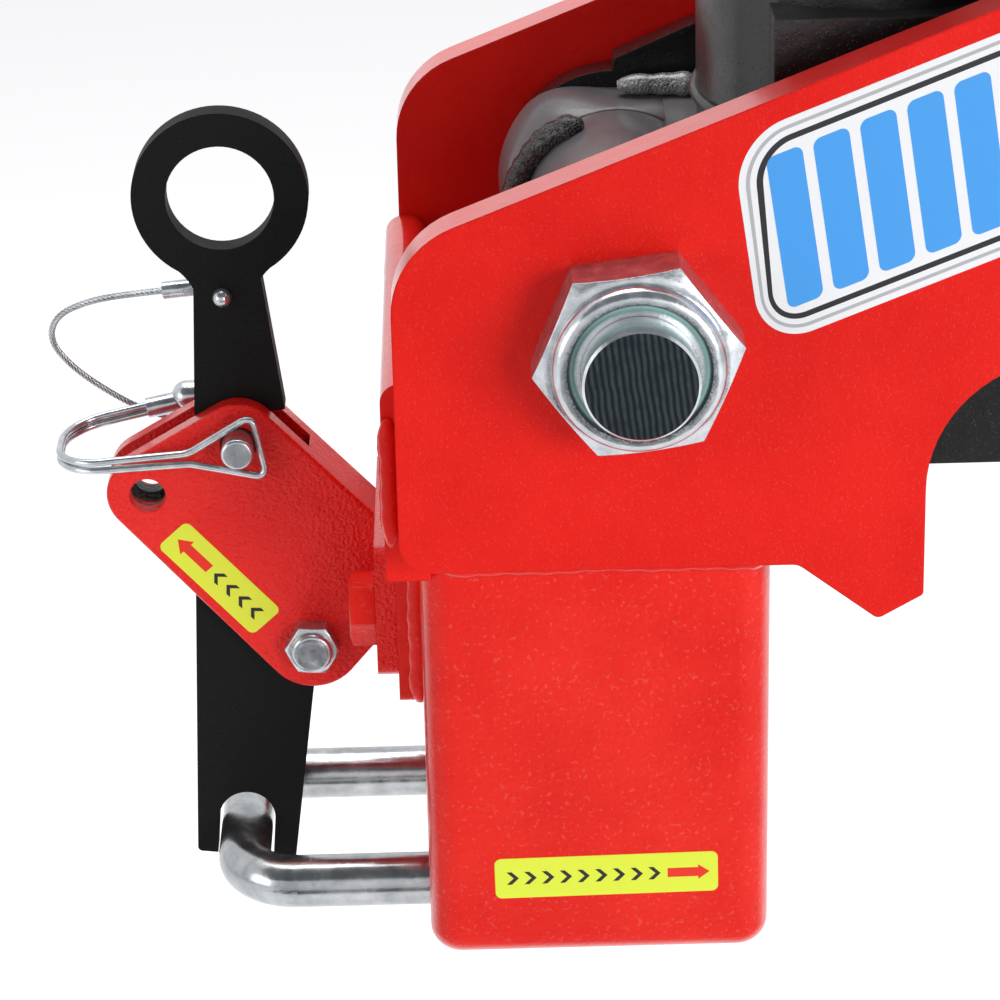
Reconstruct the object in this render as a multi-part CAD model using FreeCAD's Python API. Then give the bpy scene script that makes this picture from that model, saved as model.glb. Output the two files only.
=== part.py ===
# Gooseneck coupler with a ball socket, a hand lever lock and a sprung upper frame.
# Millimetres. +X points to the rear, +Y to the far side, +Z up.
# The origin is the centre of the ball socket's mouth, on the underside of the coupler block.
import FreeCAD, Part
import math
import os

os.makedirs("parts", exist_ok=True)

# Fits
running_gap = 0.05
flat_gap = 0.15
drill_gap = 0.4
beyond = 1.0

# Side plates and the two cross pieces that join them
plate_gap = 139.7
plate_t = 12.7
arm_slope = 21.5
arm_top_z = 250.6
arm_depth = 97.5
arm_front_x = -55.0
arm_end_x = 322.0
arm_bottom_z = 133.9
arm_nose_r = 27.0
arm_end_r = 14.0
heel_x = 91.2
heel_r = 38.0
hook_start_x = 56.0
hook_tip_x = 78.5
hook_tip_z = 116.6
hook_rise = 7.2
nose_front_x = -59.2
nose_t = 12.7
nose_bottom_z = 126.0
nose_top_z = 186.0
seat_x0 = 185.0
seat_x1 = 286.0
seat_top_z = 271.5
seat_t = 9.5
tail_x = 300.0
tail_height = 46.0
tail_drop = 8.0
tail_t = 9.5

# Coupler block
block_x = 100.0
block_top_z = 150.0
block_bottom_y = 131.0
block_draft_z = 130.0
block_edge_r = 9.5
block_foot_r = 8.0
ball_r = 29.37
socket_gap = 0.83
ball_z = 25.0

# Shackle
bar_r = 7.9375
leg_spacing = 70.0
leg_z = 11.0
bend_x = -107.0
bend_r = 17.0
leg_end_x = 44.0
leg_hole_gap = 0.35
lock_hole_r = 4.0
lock_hole_x = 30.0

# Lever bracket
bracket_t = 21.4
slot_t = 8.7
pivot_x = -83.6
pivot_z = 79.1
pin_circle_r = 68.2
open_angle = 16.4
lever_swing = 27.0
ear_r = 12.2
pivot_ear_r = 15.0
flange_x = -57.15
flange_t = 6.35
flange_width = 76.2
flange_z0 = 79.5
flange_z1 = 120.5
slot_web = 6.3
slot_shoulder_z = 97.0
slot_mouth_x = -82.5
slot_mouth_z = 141.0
bracket_edge = 1.2
flange_bolt_y = 25.4
flange_bolt_z = 97.0
flange_bolt_r = 6.35
flange_bolt_af = 19.05
flange_head_t = 7.9
flange_bolt_reach = 28.0
tap_depth = 20.5
pad_half_width = 45.0
pad_bottom_z = 75.0

# Lever
lever_t = 7.9
lever_bolt_r = 4.7625
ring_x = -105.0
ring_z = 218.5
ring_r = 25.6
ring_hole_r = 15.7
slot_width = 17.2
slot_tilt = 4.7
slot_head_room = 5.8

# Lever bolt, lock pin and its wire
small_af = 14.3
small_head_t = 6.0
small_nut_t = 8.3
lever_bolt_end = 20.0
pin_r = 4.7625
pin_tip_y = -19.5
pin_hole_r = 5.35
head_rod_r = 4.5
head_rod_y = 19.5
head_rod_z = 148.3
head_rod_x0 = -119.5
head_rod_x1 = -99.0
wire_r = 1.1
wire_y = -14.9
wire_far_y = 16.8
wire_left_x = -156.3
wire_left_z = 139.4
wire_bend = 13.0
wire_split = 1.15
sleeve_r = 3.1

# Lanyard
rope_r = 1.0
ferrule_r = 2.6
rivet_x = -105.8
rivet_drop = 30.3
rivet_r = 2.4
tongue_reach = 8.8

# Big pivot
main_x = 11.5
main_z = 201.0
main_bolt_r = 15.875
main_head_af = 47.6
main_head_t = 19.8
main_nut_af = 50.3
main_nut_t = 16.0
main_nut_turn = 7.2
collar_r = 23.6
collar_h = 5.6
insert_r = 19.6
main_bolt_end = 31.0
barrel_r = 27.0
bush_r = 19.05
bush_length = 38.0
thrust_r = 31.5

# Upper frame
frame_t = 9.5
frame_gap = 116.0
eye_r = 33.6
frame_slope = 23.4
frame_foot_z = 157.0
frame_foot_x0 = 30.0
frame_foot_x1 = 135.0
frame_rear_x = 300.0
crest_x = 11.0
crest_z = 238.0
knee_x = 142.0
shoulder_x = 206.0
armpit_x = 212.0
hip_z = 225.0
top_plate_z = 358.0
arm_rim = 6.0
arm_lip = 8.0
rear_web_height = 24.5
top_plate_x0 = 172.0
shelf_x0 = 60.0
deck_top_z = 229.0
base_t = 17.0
stem_x = 84.3
stem_r = 50.8
stem_foot_r = 51.6
stem_foot_top_z = 290.0
stem_wall = 6.35
stem_top_z = 520.0
stem_hole_r = 8.35
stem_hole_z = (440.0, 490.0)
gusset_half = 34.0
gusset_top_z = 284.0

# Air spring
spring_x = 235.0
bead_r = 46.0
bead_t = 4.0
bag_r = 55.0
bag_waist_r = 47.0
stud_r = 4.9
stud_x = 25.0
stud_reach = 9.0
stud_nut_af = 16.0
stud_nut_t = 7.5
inlet_r = 6.0

# Worked-out places
plate_in = plate_gap / 2
plate_out = plate_in + plate_t
frame_in = frame_gap / 2
frame_out = frame_in + frame_t
slope_tan = math.tan(math.radians(arm_slope))
block_front = -block_x / 2
socket_r = ball_r + socket_gap
bracket_y = bracket_t / 2
lock_angle = open_angle + lever_swing
nose_back_x = nose_front_x + nose_t
rivet_z = ring_z - rivet_drop
frame_arm_z0 = top_plate_z - arm_lip
frame_arm_z1 = top_plate_z + frame_t + rear_web_height + arm_rim


def vec(x, y, z):
    return FreeCAD.Vector(x, y, z)


def box(x0, x1, y0, y1, z0, z1):
    return Part.makeBox(x1 - x0, y1 - y0, z1 - z0, vec(x0, y0, z0))


def rod(start, end, radius):
    along = end - start
    return Part.makeCylinder(radius, along.Length, start, along)


def rod_y(x, z, radius, y0, y1):
    return rod(vec(x, y0, z), vec(x, y1, z), radius)


def rod_x(y, z, radius, x0, x1):
    return rod(vec(x0, y, z), vec(x1, y, z), radius)


def rod_z(x, y, radius, z0, z1):
    return rod(vec(x, y, z0), vec(x, y, z1), radius)


def fuse(shapes):
    solid = shapes[0]
    for other in shapes[1:]:
        solid = solid.fuse(other)
    return solid.removeSplitter()


def cut(solid, tools):
    for tool in tools:
        solid = solid.cut(tool)
    return solid


def rounded_edges(points, radii, closed):
    """Straight edges through points, with a tangent arc of the given radius at each corner."""
    count = len(points)
    entries = []
    for i, point in enumerate(points):
        if not closed and i in (0, count - 1) or radii[i] == 0:
            entries.append((point, point, None))
            continue
        back = (points[i - 1] - point).normalize()
        ahead = (points[(i + 1) % count] - point).normalize()
        half = back.getAngle(ahead) / 2
        reach = radii[i] / math.tan(half)
        middle = (back + ahead).normalize()
        centre = point + middle * (radii[i] / math.sin(half))
        entries.append((point + back * reach, point + ahead * reach, centre - middle * radii[i]))
    edges = []
    for i, (start, end, mid) in enumerate(entries):
        if mid is not None:
            edges.append(Part.Arc(start, mid, end).toShape())
        if i < count - 1 or closed:
            target = entries[(i + 1) % count][0]
            if (target - end).Length > 1e-6:
                edges.append(Part.LineSegment(end, target).toShape())
    return edges


def plate_xz(corners, y0, y1):
    """A flat plate cut to an outline of (x, z, corner radius)."""
    points = [vec(x, y0, z) for x, z, r in corners]
    wire = Part.Wire(rounded_edges(points, [r for x, z, r in corners], True))
    return Part.Face(wire).extrude(vec(0, y1 - y0, 0))


def belt_xz(circles, y0, y1):
    """A flat plate with the outline of a tight belt round circles of (x, z, radius), clockwise."""
    count = len(circles)
    lines = []
    for i, (x0, z0, r0) in enumerate(circles):
        x1, z1, r1 = circles[(i + 1) % count]
        span = vec(x1 - x0, 0, z1 - z0)
        along = vec(span.x, 0, span.z).normalize()
        left = vec(-along.z, 0, along.x)
        lean = (r0 - r1) / span.Length
        normal = along * lean + left * math.sqrt(1 - lean * lean)
        lines.append((vec(x0, y0, z0) + normal * r0, vec(x1, y0, z1) + normal * r1, normal))
    edges = []
    for i, (x0, z0, r0) in enumerate(circles):
        start, end, normal = lines[i]
        before, arrive, last_normal = lines[i - 1]
        if r0 > 0:
            middle = vec(x0, y0, z0) + (normal + last_normal).normalize() * r0
            edges.append(Part.Arc(arrive, middle, start).toShape())
        edges.append(Part.LineSegment(start, end).toShape())
    return Part.Face(Part.Wire(edges)).extrude(vec(0, y1 - y0, 0))


def pipe(points, radii, radius):
    """A round bar along a route with tangent arcs at its corners."""
    path = Part.Wire(rounded_edges(points, radii, False))
    circle = Part.makeCircle(radius, points[0], points[1] - points[0])
    return path.makePipeShell([Part.Wire([circle])], True, False)


def hexagon(centre, axis, flats, height, turn):
    """A hexagonal prism from centre along axis, with its corners turned about the axis."""
    side = vec(1, 0, 0) if abs(axis.x) < 0.5 else vec(0, 0, 1)
    across = axis.cross(side)
    points = []
    for i in range(6):
        angle = math.radians(turn + 60 * i)
        arm = side * math.cos(angle) + across * math.sin(angle)
        points.append(centre + arm * (flats / math.sqrt(3)))
    points.append(points[0])
    return Part.Face(Part.makePolygon(points)).extrude(axis * height)


def hex_head(centre, axis, flats, height, turn=0.0):
    """A hexagon whose outer corners are turned off by a cone."""
    solid = hexagon(centre, axis, flats, height, turn)
    corner = flats / math.sqrt(3)
    rise = corner - flats / 2
    body = Part.makeCylinder(corner, height - rise * 0.55, centre, axis)
    crown = Part.makeCone(corner, flats / 2 * 0.97, rise * 0.55, centre + axis * (height - rise * 0.55), axis)
    return solid.common(body.fuse(crown))


def top_at(x):
    return arm_top_z + slope_tan * x


def low_at(x):
    return top_at(x) - arm_depth / math.cos(math.radians(arm_slope))


def side_plate(y0, y1):
    """One arm plate: square nose, torch-cut heel hook and a sloping arm."""
    end_z = top_at(arm_end_x)
    foot_x = arm_end_x + arm_depth * math.sin(math.radians(arm_slope))
    foot_z = end_z - arm_depth * math.cos(math.radians(arm_slope))
    corners = [
        (arm_front_x, arm_bottom_z, 9.0),
        (arm_front_x, top_at(arm_front_x), arm_nose_r),
        (arm_end_x, end_z, arm_end_r),
        (foot_x, foot_z, arm_end_r),
        (heel_x, low_at(heel_x), heel_r),
        (heel_x, hook_tip_z + hook_rise, 1.6),
        (hook_tip_x, hook_tip_z, 2.4),
        (hook_start_x, arm_bottom_z, 5.0),
    ]
    plate = plate_xz(corners, y0, y1)
    return plate.cut(rod_y(main_x, main_z, main_bolt_r + drill_gap, y0, y1))


def nose_plate():
    """Front cross plate with a rounded top edge."""
    corners = [
        (nose_front_x, nose_bottom_z, 0),
        (nose_front_x, nose_top_z, nose_t * 0.45),
        (nose_back_x, nose_top_z, nose_t * 0.45),
        (nose_back_x, nose_bottom_z, 0),
    ]
    return plate_xz(corners, -plate_in, plate_in)


def seat_plate():
    """Cross plate under the air spring."""
    plate = box(seat_x0, seat_x1, -plate_in, plate_in, seat_top_z - seat_t, seat_top_z)
    low, high = seat_top_z - seat_t - beyond, seat_top_z + beyond
    holes = [rod_z(spring_x + side * stud_x, 0, stud_r + drill_gap, low, high) for side in (-1, 1)]
    return cut(plate, holes)


def tail_plate():
    """Upright cross plate that closes the rear of the arms."""
    middle = low_at(tail_x) + arm_depth / 2 - tail_drop
    return box(tail_x, tail_x + tail_t, -plate_in, plate_in, middle - tail_height / 2, middle + tail_height / 2)


def coupler_block():
    """Cast block: drafted sides, a ball socket from below and two bores for the shackle legs."""
    foot = Part.makePolygon([vec(x, y, 0) for x, y in block_outline(block_bottom_y / 2)])
    shoulder = Part.makePolygon([vec(x, y, block_draft_z) for x, y in block_outline(plate_in)])
    lower = Part.makeLoft([foot, shoulder], True, True)
    upper = box(block_front, -block_front, -plate_in, plate_in, block_draft_z, block_top_z)
    block = fuse([lower, upper])
    block = block.makeFillet(block_edge_r, upright_edges(block))
    block = block.makeFillet(block_foot_r, foot_edges(block))
    front, rear = block_front - beyond, -block_front + beyond
    socket = fuse([rod_z(0, 0, socket_r, -beyond, ball_z), Part.makeSphere(socket_r, vec(0, 0, ball_z))])
    bores = [rod_x(side * leg_spacing / 2, leg_z, bar_r + leg_hole_gap, front, rear) for side in (-1, 1)]
    step = box(front, nose_back_x, -plate_in, plate_in, nose_bottom_z, block_top_z + beyond)
    taps = [rod_x(side * flange_bolt_y, flange_bolt_z, flange_bolt_r, front, block_front + tap_depth)
            for side in (-1, 1)]
    return cut(block, [socket, step] + bores + taps)


def block_outline(half_y):
    front = block_front
    return [(front, -half_y), (-front, -half_y), (-front, half_y), (front, half_y), (front, -half_y)]


def upright_edges(block):
    """The four drafted corner edges below the shoulder."""
    found = []
    for edge in block.Edges:
        low, high = edge.BoundBox.ZMin, edge.BoundBox.ZMax
        if low < 1 and high > block_draft_z - 1:
            found.append(edge)
    return found


def foot_edges(block):
    return [edge for edge in block.Edges if edge.BoundBox.ZMax < 0.01]


def mount_pad():
    """Plate welded to the front of the block, which the lever bracket is bolted to."""
    pad = box(flange_x, block_front, -pad_half_width, pad_half_width, pad_bottom_z, nose_bottom_z)
    ends = [edge for edge in pad.Edges if edge.BoundBox.YLength < 0.01 and edge.BoundBox.ZLength < 0.01
            and edge.BoundBox.ZMax < pad_bottom_z + 1]
    pad = pad.makeFillet(3.0, ends)
    return cut(pad, flange_holes(flange_bolt_r))


def flange_holes(radius):
    front, rear = flange_x - flange_t - beyond, block_front + beyond
    return [rod_x(side * flange_bolt_y, flange_bolt_z, radius, front, rear) for side in (-1, 1)]


def pin_place(angle):
    lean = math.radians(angle)
    return pivot_x - pin_circle_r * math.sin(lean), pivot_z + pin_circle_r * math.cos(lean)


def lever_bracket():
    """Bracket with two cheeks, a slot for the lever between them and a bolting flange."""
    open_x, open_z = pin_place(open_angle)
    lock_x, lock_z = pin_place(lock_angle)
    face_x = flange_x - flange_t
    outline = [
        (lock_x, lock_z, ear_r),
        (open_x, open_z, ear_r),
        (face_x, flange_z1, 0),
        (face_x, flange_z0, 0),
        (pivot_x, pivot_z, pivot_ear_r),
    ]
    body = belt_xz(outline, -bracket_y, bracket_y)
    rims = [edge for edge in body.Edges if edge.BoundBox.YLength < 0.01 and edge.BoundBox.XMin < face_x - 1]
    body = body.makeFillet(bracket_edge, rims)
    flange = box(face_x, flange_x, -flange_width / 2, flange_width / 2, flange_z0, flange_z1)
    ends = [edge for edge in flange.Edges if edge.BoundBox.XLength > flange_t - 0.1]
    body = fuse([body, flange.makeFillet(5.0, ends)])
    slot_x = face_x - slot_web
    far = -200
    slot = plate_xz([
        (far, 0, 0), (far, 250, 0), (slot_mouth_x, 250, 0), (slot_mouth_x, slot_mouth_z, 0),
        (slot_x, slot_shoulder_z, 0), (slot_x, 0, 0),
    ], -slot_t / 2, slot_t / 2)
    near, behind = -bracket_y - beyond, bracket_y + beyond
    holes = [
        rod_y(lock_x, lock_z, pin_hole_r, near, behind),
        rod_y(open_x, open_z, pin_hole_r, near, behind),
        rod_y(pivot_x, pivot_z, lever_bolt_r + running_gap, near, behind),
    ]
    return cut(body, [slot] + holes + flange_holes(flange_bolt_r + drill_gap))


def bracket_bolts():
    """Two hex screws from the front through flange and pad into the block."""
    bolts = []
    face_x = flange_x - flange_t
    for side in (-1, 1):
        head = hex_head(vec(face_x, side * flange_bolt_y, flange_bolt_z), vec(-1, 0, 0),
                        flange_bolt_af, flange_head_t, 30)
        shank = rod_x(side * flange_bolt_y, flange_bolt_z, flange_bolt_r - running_gap,
                      face_x, face_x + flange_bolt_reach)
        bolts.append(head.fuse(shank))
    return Part.makeCompound(bolts)


def lever():
    """Flat hand lever: ring on top, waisted neck, pivot boss and a fork for the shackle below."""
    y0, y1 = -lever_t / 2, lever_t / 2
    blade = plate_xz([
        (ring_x - 8.2, ring_z - 10, 0),
        (ring_x + 8.9, ring_z - 10, 0),
        (-80.6, 86.0, 20.0),
        (-84.6, 58.0, 60.0),
        (-92.2, 1.8, 1.5),
        (-122.4, 5.4, 1.5),
    ], y0, y1)
    ring = rod_y(ring_x, ring_z, ring_r, y0, y1)
    boss = rod_y(pivot_x, pivot_z, 11.6, y0, y1)
    solid = fuse([blade, neck_flare(y0, y1), ring, boss])
    lean = math.radians(slot_tilt)
    up = vec(math.sin(lean), 0, math.cos(lean))
    head = vec(bend_x, 0, leg_z) + up * slot_head_room
    foot = head - up * 60
    side = vec(math.cos(lean), 0, -math.sin(lean)) * (slot_width / 2)
    fork = Part.Face(Part.makePolygon([p + vec(0, y0 - 1, 0) for p in
                                       (head - side, head + side, foot + side, foot - side, head - side)]))
    holes = [
        rod_y(ring_x, ring_z, ring_hole_r, y0, y1),
        rod_y(head.x, head.z, slot_width / 2, y0, y1),
        fork.extrude(vec(0, lever_t + 2, 0)),
        rod_y(pivot_x, pivot_z, lever_bolt_r + running_gap, y0, y1),
        rod_y(rivet_x, rivet_z, rivet_r, y0, y1),
        pin_notch(y0, y1),
    ]
    return cut(solid, holes)


def neck_flare(y0, y1):
    """The flare where the neck runs into the ring, with a hollow curve on each side."""
    left = vec(ring_x - 7.6, y0, ring_z - 32)
    right = vec(ring_x + 7.9, y0, ring_z - 32)
    ring_left = vec(ring_x - 16.5, y0, ring_z - 19.5)
    ring_right = vec(ring_x + 16.5, y0, ring_z - 19.5)
    edges = [
        Part.Arc(left, vec(ring_x - 10.3, y0, ring_z - 25.2), ring_left).toShape(),
        Part.LineSegment(ring_left, ring_right).toShape(),
        Part.Arc(ring_right, vec(ring_x + 10.6, y0, ring_z - 25.2), right).toShape(),
        Part.LineSegment(right, left).toShape(),
    ]
    return Part.Face(Part.Wire(edges)).extrude(vec(0, y1 - y0, 0))


def pin_notch(y0, y1):
    """Arc-shaped notch for the lock pin, open to the lever's rear edge."""
    outer = rod_y(pivot_x, pivot_z, pin_circle_r + pin_hole_r, y0, y1)
    inner = rod_y(pivot_x, pivot_z, pin_circle_r - pin_hole_r, y0, y1)
    open_x, open_z = pin_place(open_angle)
    reach = 200
    lean = math.radians(open_angle)
    hub = vec(pivot_x, y0, pivot_z)
    left = hub + vec(-math.sin(lean), 0, math.cos(lean)) * reach
    right = hub + vec(math.sin(math.radians(30)), 0, math.cos(math.radians(30))) * reach
    sector = Part.Face(Part.makePolygon([hub, left, right, hub])).extrude(vec(0, y1 - y0, 0))
    return outer.cut(inner).common(sector).fuse(rod_y(open_x, open_z, pin_hole_r, y0, y1))


def lever_bolt():
    """Hex bolt that the lever turns on, with its head on the far side."""
    head = hex_head(vec(pivot_x, bracket_y, pivot_z), vec(0, 1, 0), small_af, small_head_t)
    shank = rod_y(pivot_x, pivot_z, lever_bolt_r, -lever_bolt_end, bracket_y)
    return head.fuse(shank)


def lever_nut():
    """Lock nut with a domed collar."""
    body = hex_head(vec(pivot_x, -bracket_y, pivot_z), vec(0, -1, 0), small_af, small_nut_t - 2.2, 8)
    collar = rod_y(pivot_x, pivot_z, small_af * 0.43, -bracket_y - small_nut_t, -bracket_y - 3)
    collar = collar.makeFillet(1.2, [edge for edge in collar.Edges
                                     if edge.BoundBox.YMax < -bracket_y - small_nut_t + 0.01])
    return fuse([body, collar]).cut(rod_y(pivot_x, pivot_z, lever_bolt_r, -40, 0))


def lock_pin():
    """Lock pin with a round-ended cross rod for a head on the far side."""
    open_x, open_z = pin_place(open_angle)
    shaft = rod_y(open_x, open_z, pin_r, pin_tip_y, head_rod_y)
    shaft = shaft.makeFillet(1.0, [edge for edge in shaft.Edges if edge.BoundBox.YMax < pin_tip_y + 0.01])
    head = rod_x(head_rod_y, head_rod_z, head_rod_r, head_rod_x0, head_rod_x1)
    ends = [Part.makeSphere(head_rod_r, vec(x, head_rod_y, head_rod_z)) for x in (head_rod_x0, head_rod_x1)]
    return fuse([shaft, head] + ends)


def snap_wire():
    """Doubled spring wire: out of its sleeve, round the bracket and into a three-sided eye over the pin."""
    def strand(x, y, z, layer):
        return vec(x, y, z + layer * wire_split)
    points = [
        strand(-122.8, 19.2, 146.3, 1),
        strand(wire_left_x, wire_far_y, wire_left_z + 0.2, 1),
        strand(wire_left_x, wire_y, wire_left_z, 1),
        strand(-117.4, wire_y, 142.5, 1),
        vec(-98.2, wire_y, 155.3),
        vec(-94.4, wire_y, 135.4),
        strand(-117.0, wire_y, 141.5, -1),
        strand(wire_left_x, wire_y, wire_left_z, -1),
        strand(wire_left_x, wire_far_y, wire_left_z + 0.2, -1),
        strand(-122.8, 19.2, 146.3, -1),
    ]
    bends = [wire_bend, wire_bend, 9.0, 2.4]
    return pipe(points, [0] + bends + bends[::-1] + [0], wire_r)


def wire_sleeve():
    """Crimped sleeve that holds both strands against the head of the pin."""
    start = vec(-131.6, 18.4, 144.8)
    end = vec(-121.2, 19.3, 146.6)
    return rod(start, end, sleeve_r)


def lanyard_route():
    """Wire rope from the ferrule behind the lever, out to the left and down to the pin's head."""
    return [
        vec(-123.6, 7.2, 186.6),
        vec(-134.5, 8.4, 185.2),
        vec(-146.0, 11.0, 182.6),
        vec(-156.5, 14.4, 177.0),
        vec(-159.5, 17.4, 168.0),
        vec(-153.8, 20.4, 158.2),
        vec(-144.6, 23.6, 149.2),
        vec(-134.6, 26.4, 141.6),
        vec(-125.0, 27.4, 137.4),
    ]


def tube_radii(points):
    """Arc radius at each corner: 0.45 of the shorter run over the tangent of half the turn."""
    radii = [0]
    for i in range(1, len(points) - 1):
        back = points[i] - points[i - 1]
        ahead = points[i + 1] - points[i]
        turn = back.getAngle(ahead)
        radii.append(0.45 * min(back.Length, ahead.Length) / math.tan(turn / 2))
    return radii + [0]


def lanyard():
    route = lanyard_route()
    radii = tube_radii(route)
    tube = pipe(route, radii, rope_r)
    path = Part.Wire(rounded_edges(route, radii, False))
    print("lanyard radii", [round(r, 1) for r in radii[1:-1]], "length", round(path.Length, 1),
          "volume ratio", round(tube.Volume / (path.Length * math.pi * rope_r ** 2), 4))
    return tube


def lanyard_ferrule():
    """Flattened ferrule, with an eye that the rivet holds to the back of the lever."""
    route = lanyard_route()
    back = (route[0] - route[1]).normalize()
    barrel = rod(route[0], route[0] + back * 12.0, ferrule_r)
    tongue = box(rivet_x - tongue_reach, rivet_x + 4.5, lever_t / 2 + 0.05, lever_t / 2 + 1.6, rivet_z - 4, rivet_z + 3)
    behind = box(-140, -90, -10, lever_t / 2 + 0.05, 150, 220)
    return cut(fuse([barrel, tongue]), [behind, rod_y(rivet_x, rivet_z, rivet_r, 0, 12)])


def lanyard_rivet():
    """Round-head rivet through the lever's neck."""
    shank = rod_y(rivet_x, rivet_z, rivet_r, -lever_t / 2, lever_t / 2 + 2.0)
    near = Part.makeSphere(2.9, vec(rivet_x, -lever_t / 2 - 0.4, rivet_z))
    near = near.cut(box(-120, -90, -lever_t / 2, 0, 170, 200))
    far = rod_y(rivet_x, rivet_z, 3.4, lever_t / 2 + 1.6, lever_t / 2 + 2.8)
    return fuse([shank, near, far])


def lanyard_stop():
    """Crimp at the rope's lower end, beside the head of the pin."""
    route = lanyard_route()
    ahead = (route[-1] - route[-2]).normalize()
    return rod(route[-1], route[-1] + ahead * 8.0, ferrule_r)


def shackle():
    """U-shaped round bar. Each leg is scalloped beside the socket so that the open lock clears the ball."""
    half = leg_spacing / 2
    points = [
        vec(leg_end_x, -half, leg_z),
        vec(bend_x, -half, leg_z),
        vec(bend_x, half, leg_z),
        vec(leg_end_x, half, leg_z),
    ]
    bar = pipe(points, [0, bend_r, bend_r, 0], bar_r)
    ends = [edge for edge in bar.Edges if edge.BoundBox.XMin > leg_end_x - 0.01]
    bar = bar.makeChamfer(1.2, ends)
    holes = [rod_z(lock_hole_x, side * half, lock_hole_r, 0, 40) for side in (-1, 1)]
    return cut(bar, [rod_z(0, 0, socket_r, -10, 40)] + holes)


def main_bolt():
    """Big pivot bolt, with its head on the far side and a sawn end on the near side."""
    head = hex_head(vec(main_x, plate_out, main_z), vec(0, 1, 0), main_head_af, main_head_t, 12)
    shank = rod_y(main_x, main_z, main_bolt_r, -plate_out - main_bolt_end, plate_out)
    shank = shank.makeChamfer(0.7, [edge for edge in shank.Edges
                                    if edge.BoundBox.YMax < -plate_out - main_bolt_end + 0.01])
    return fuse([head, shank])


def main_nut():
    """Hex nut with a rolled collar round its nylon ring."""
    out = vec(0, -1, 0)
    body = hex_head(vec(main_x, -plate_out, main_z), out, main_nut_af, main_nut_t, -main_nut_turn)
    face = -plate_out - main_nut_t
    collar = rod_y(main_x, main_z, collar_r, face - collar_h, face + 2)
    rim = [edge for edge in collar.Edges if edge.BoundBox.YMax < face - collar_h + 0.01]
    collar = collar.makeFillet(3.2, rim)
    nut = fuse([body, collar])
    seat = rod_y(main_x, main_z, insert_r, face - collar_h, face + 0.6)
    return cut(nut, [rod_y(main_x, main_z, main_bolt_r, -200, 0), seat])


def nut_insert():
    """Nylon ring inside the collar of the big nut."""
    face = -plate_out - main_nut_t
    ring = rod_y(main_x, main_z, insert_r, face - collar_h + 1.4, face + 0.6)
    return ring.cut(rod_y(main_x, main_z, main_bolt_r, -200, 0))


def thrust_washers():
    rings = []
    for side in (-1, 1):
        inner = side * (frame_out + flat_gap)
        outer = side * (plate_in - flat_gap)
        ring = rod_y(main_x, main_z, thrust_r, min(inner, outer), max(inner, outer))
        rings.append(ring.cut(rod_y(main_x, main_z, main_bolt_r + drill_gap, -100, 100)))
    return Part.makeCompound(rings)


def pivot_barrel():
    tube = rod_y(main_x, main_z, barrel_r, -frame_in, frame_in)
    return tube.cut(rod_y(main_x, main_z, bush_r, -frame_in, frame_in))


def pivot_bushes():
    """Two bronze sleeves, pressed in from the outer faces of the upper frame."""
    sleeves = []
    for y0, y1 in ((-frame_out, bush_length - frame_out), (frame_out - bush_length, frame_out)):
        sleeve = rod_y(main_x, main_z, bush_r, y0, y1)
        sleeves.append(sleeve.cut(rod_y(main_x, main_z, main_bolt_r + running_gap, y0, y1)))
    return Part.makeCompound(sleeves)


def frame_plate(y0, y1):
    """Side plate of the upper frame: round eye, flat foot and a raised arm over the air spring."""
    knee_z = crest_z + math.tan(math.radians(frame_slope)) * (knee_x - crest_x)
    lower = belt_xz([
        (main_x, main_z, eye_r),
        (frame_foot_x1 - 8, deck_top_z - 8, 8.0),
        (frame_foot_x1 - 8, frame_foot_z + 8, 8.0),
        (frame_foot_x0 + 12, frame_foot_z + 12, 12.0),
    ], y0, y1)
    upper = plate_xz([
        (crest_x, crest_z, 1.5),
        (knee_x, knee_z, 40.0),
        (shoulder_x, frame_arm_z1, 30.0),
        (frame_rear_x, frame_arm_z1, 12.0),
        (frame_rear_x, frame_arm_z0, 12.0),
        (armpit_x, frame_arm_z0, 14.0),
        (frame_foot_x1, hip_z, 30.0),
        (frame_foot_x1, main_z, 0),
        (crest_x, main_z, 0),
    ], y0, y1)
    solid = fuse([lower, upper])
    return solid.cut(rod_y(main_x, main_z, bush_r, y0, y1))


def deck_plate():
    """Deck between the frame plates, from the pivot barrel to the rear of the stem."""
    plate = box(main_x + 14, frame_foot_x1, -frame_in, frame_in, deck_top_z - frame_t, deck_top_z)
    return plate.cut(rod_y(main_x, main_z, barrel_r, -frame_in, frame_in))


def stem_base():
    """Thick octagonal pad between the deck and the stem."""
    half = frame_in - 0.5
    cut_back = 26.0
    near = half - cut_back
    ring = [(half, -near), (half, near), (near, half), (-near, half),
            (-half, near), (-half, -near), (-near, -half), (near, -half), (half, -near)]
    face = Part.Face(Part.makePolygon([vec(stem_x + 0.86 * x, y, deck_top_z) for x, y in ring]))
    return face.extrude(vec(0, 0, base_t))


def stem_tube():
    """Round gooseneck stem, turned to size above its foot, with cross holes for its locking pin."""
    base = deck_top_z + base_t
    tube = rod_z(stem_x, 0, stem_r, base, stem_top_z)
    tube = tube.makeChamfer(2.0, [edge for edge in tube.Edges if edge.BoundBox.ZMin > stem_top_z - 0.01])
    tube = fuse([tube, rod_z(stem_x, 0, stem_foot_r, base, stem_foot_top_z)])
    holes = [rod_y(stem_x, z, stem_hole_r, -stem_r - beyond, stem_r + beyond) for z in stem_hole_z]
    return cut(tube, [rod_z(stem_x, 0, stem_r - stem_wall, base, stem_top_z)] + holes)


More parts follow.
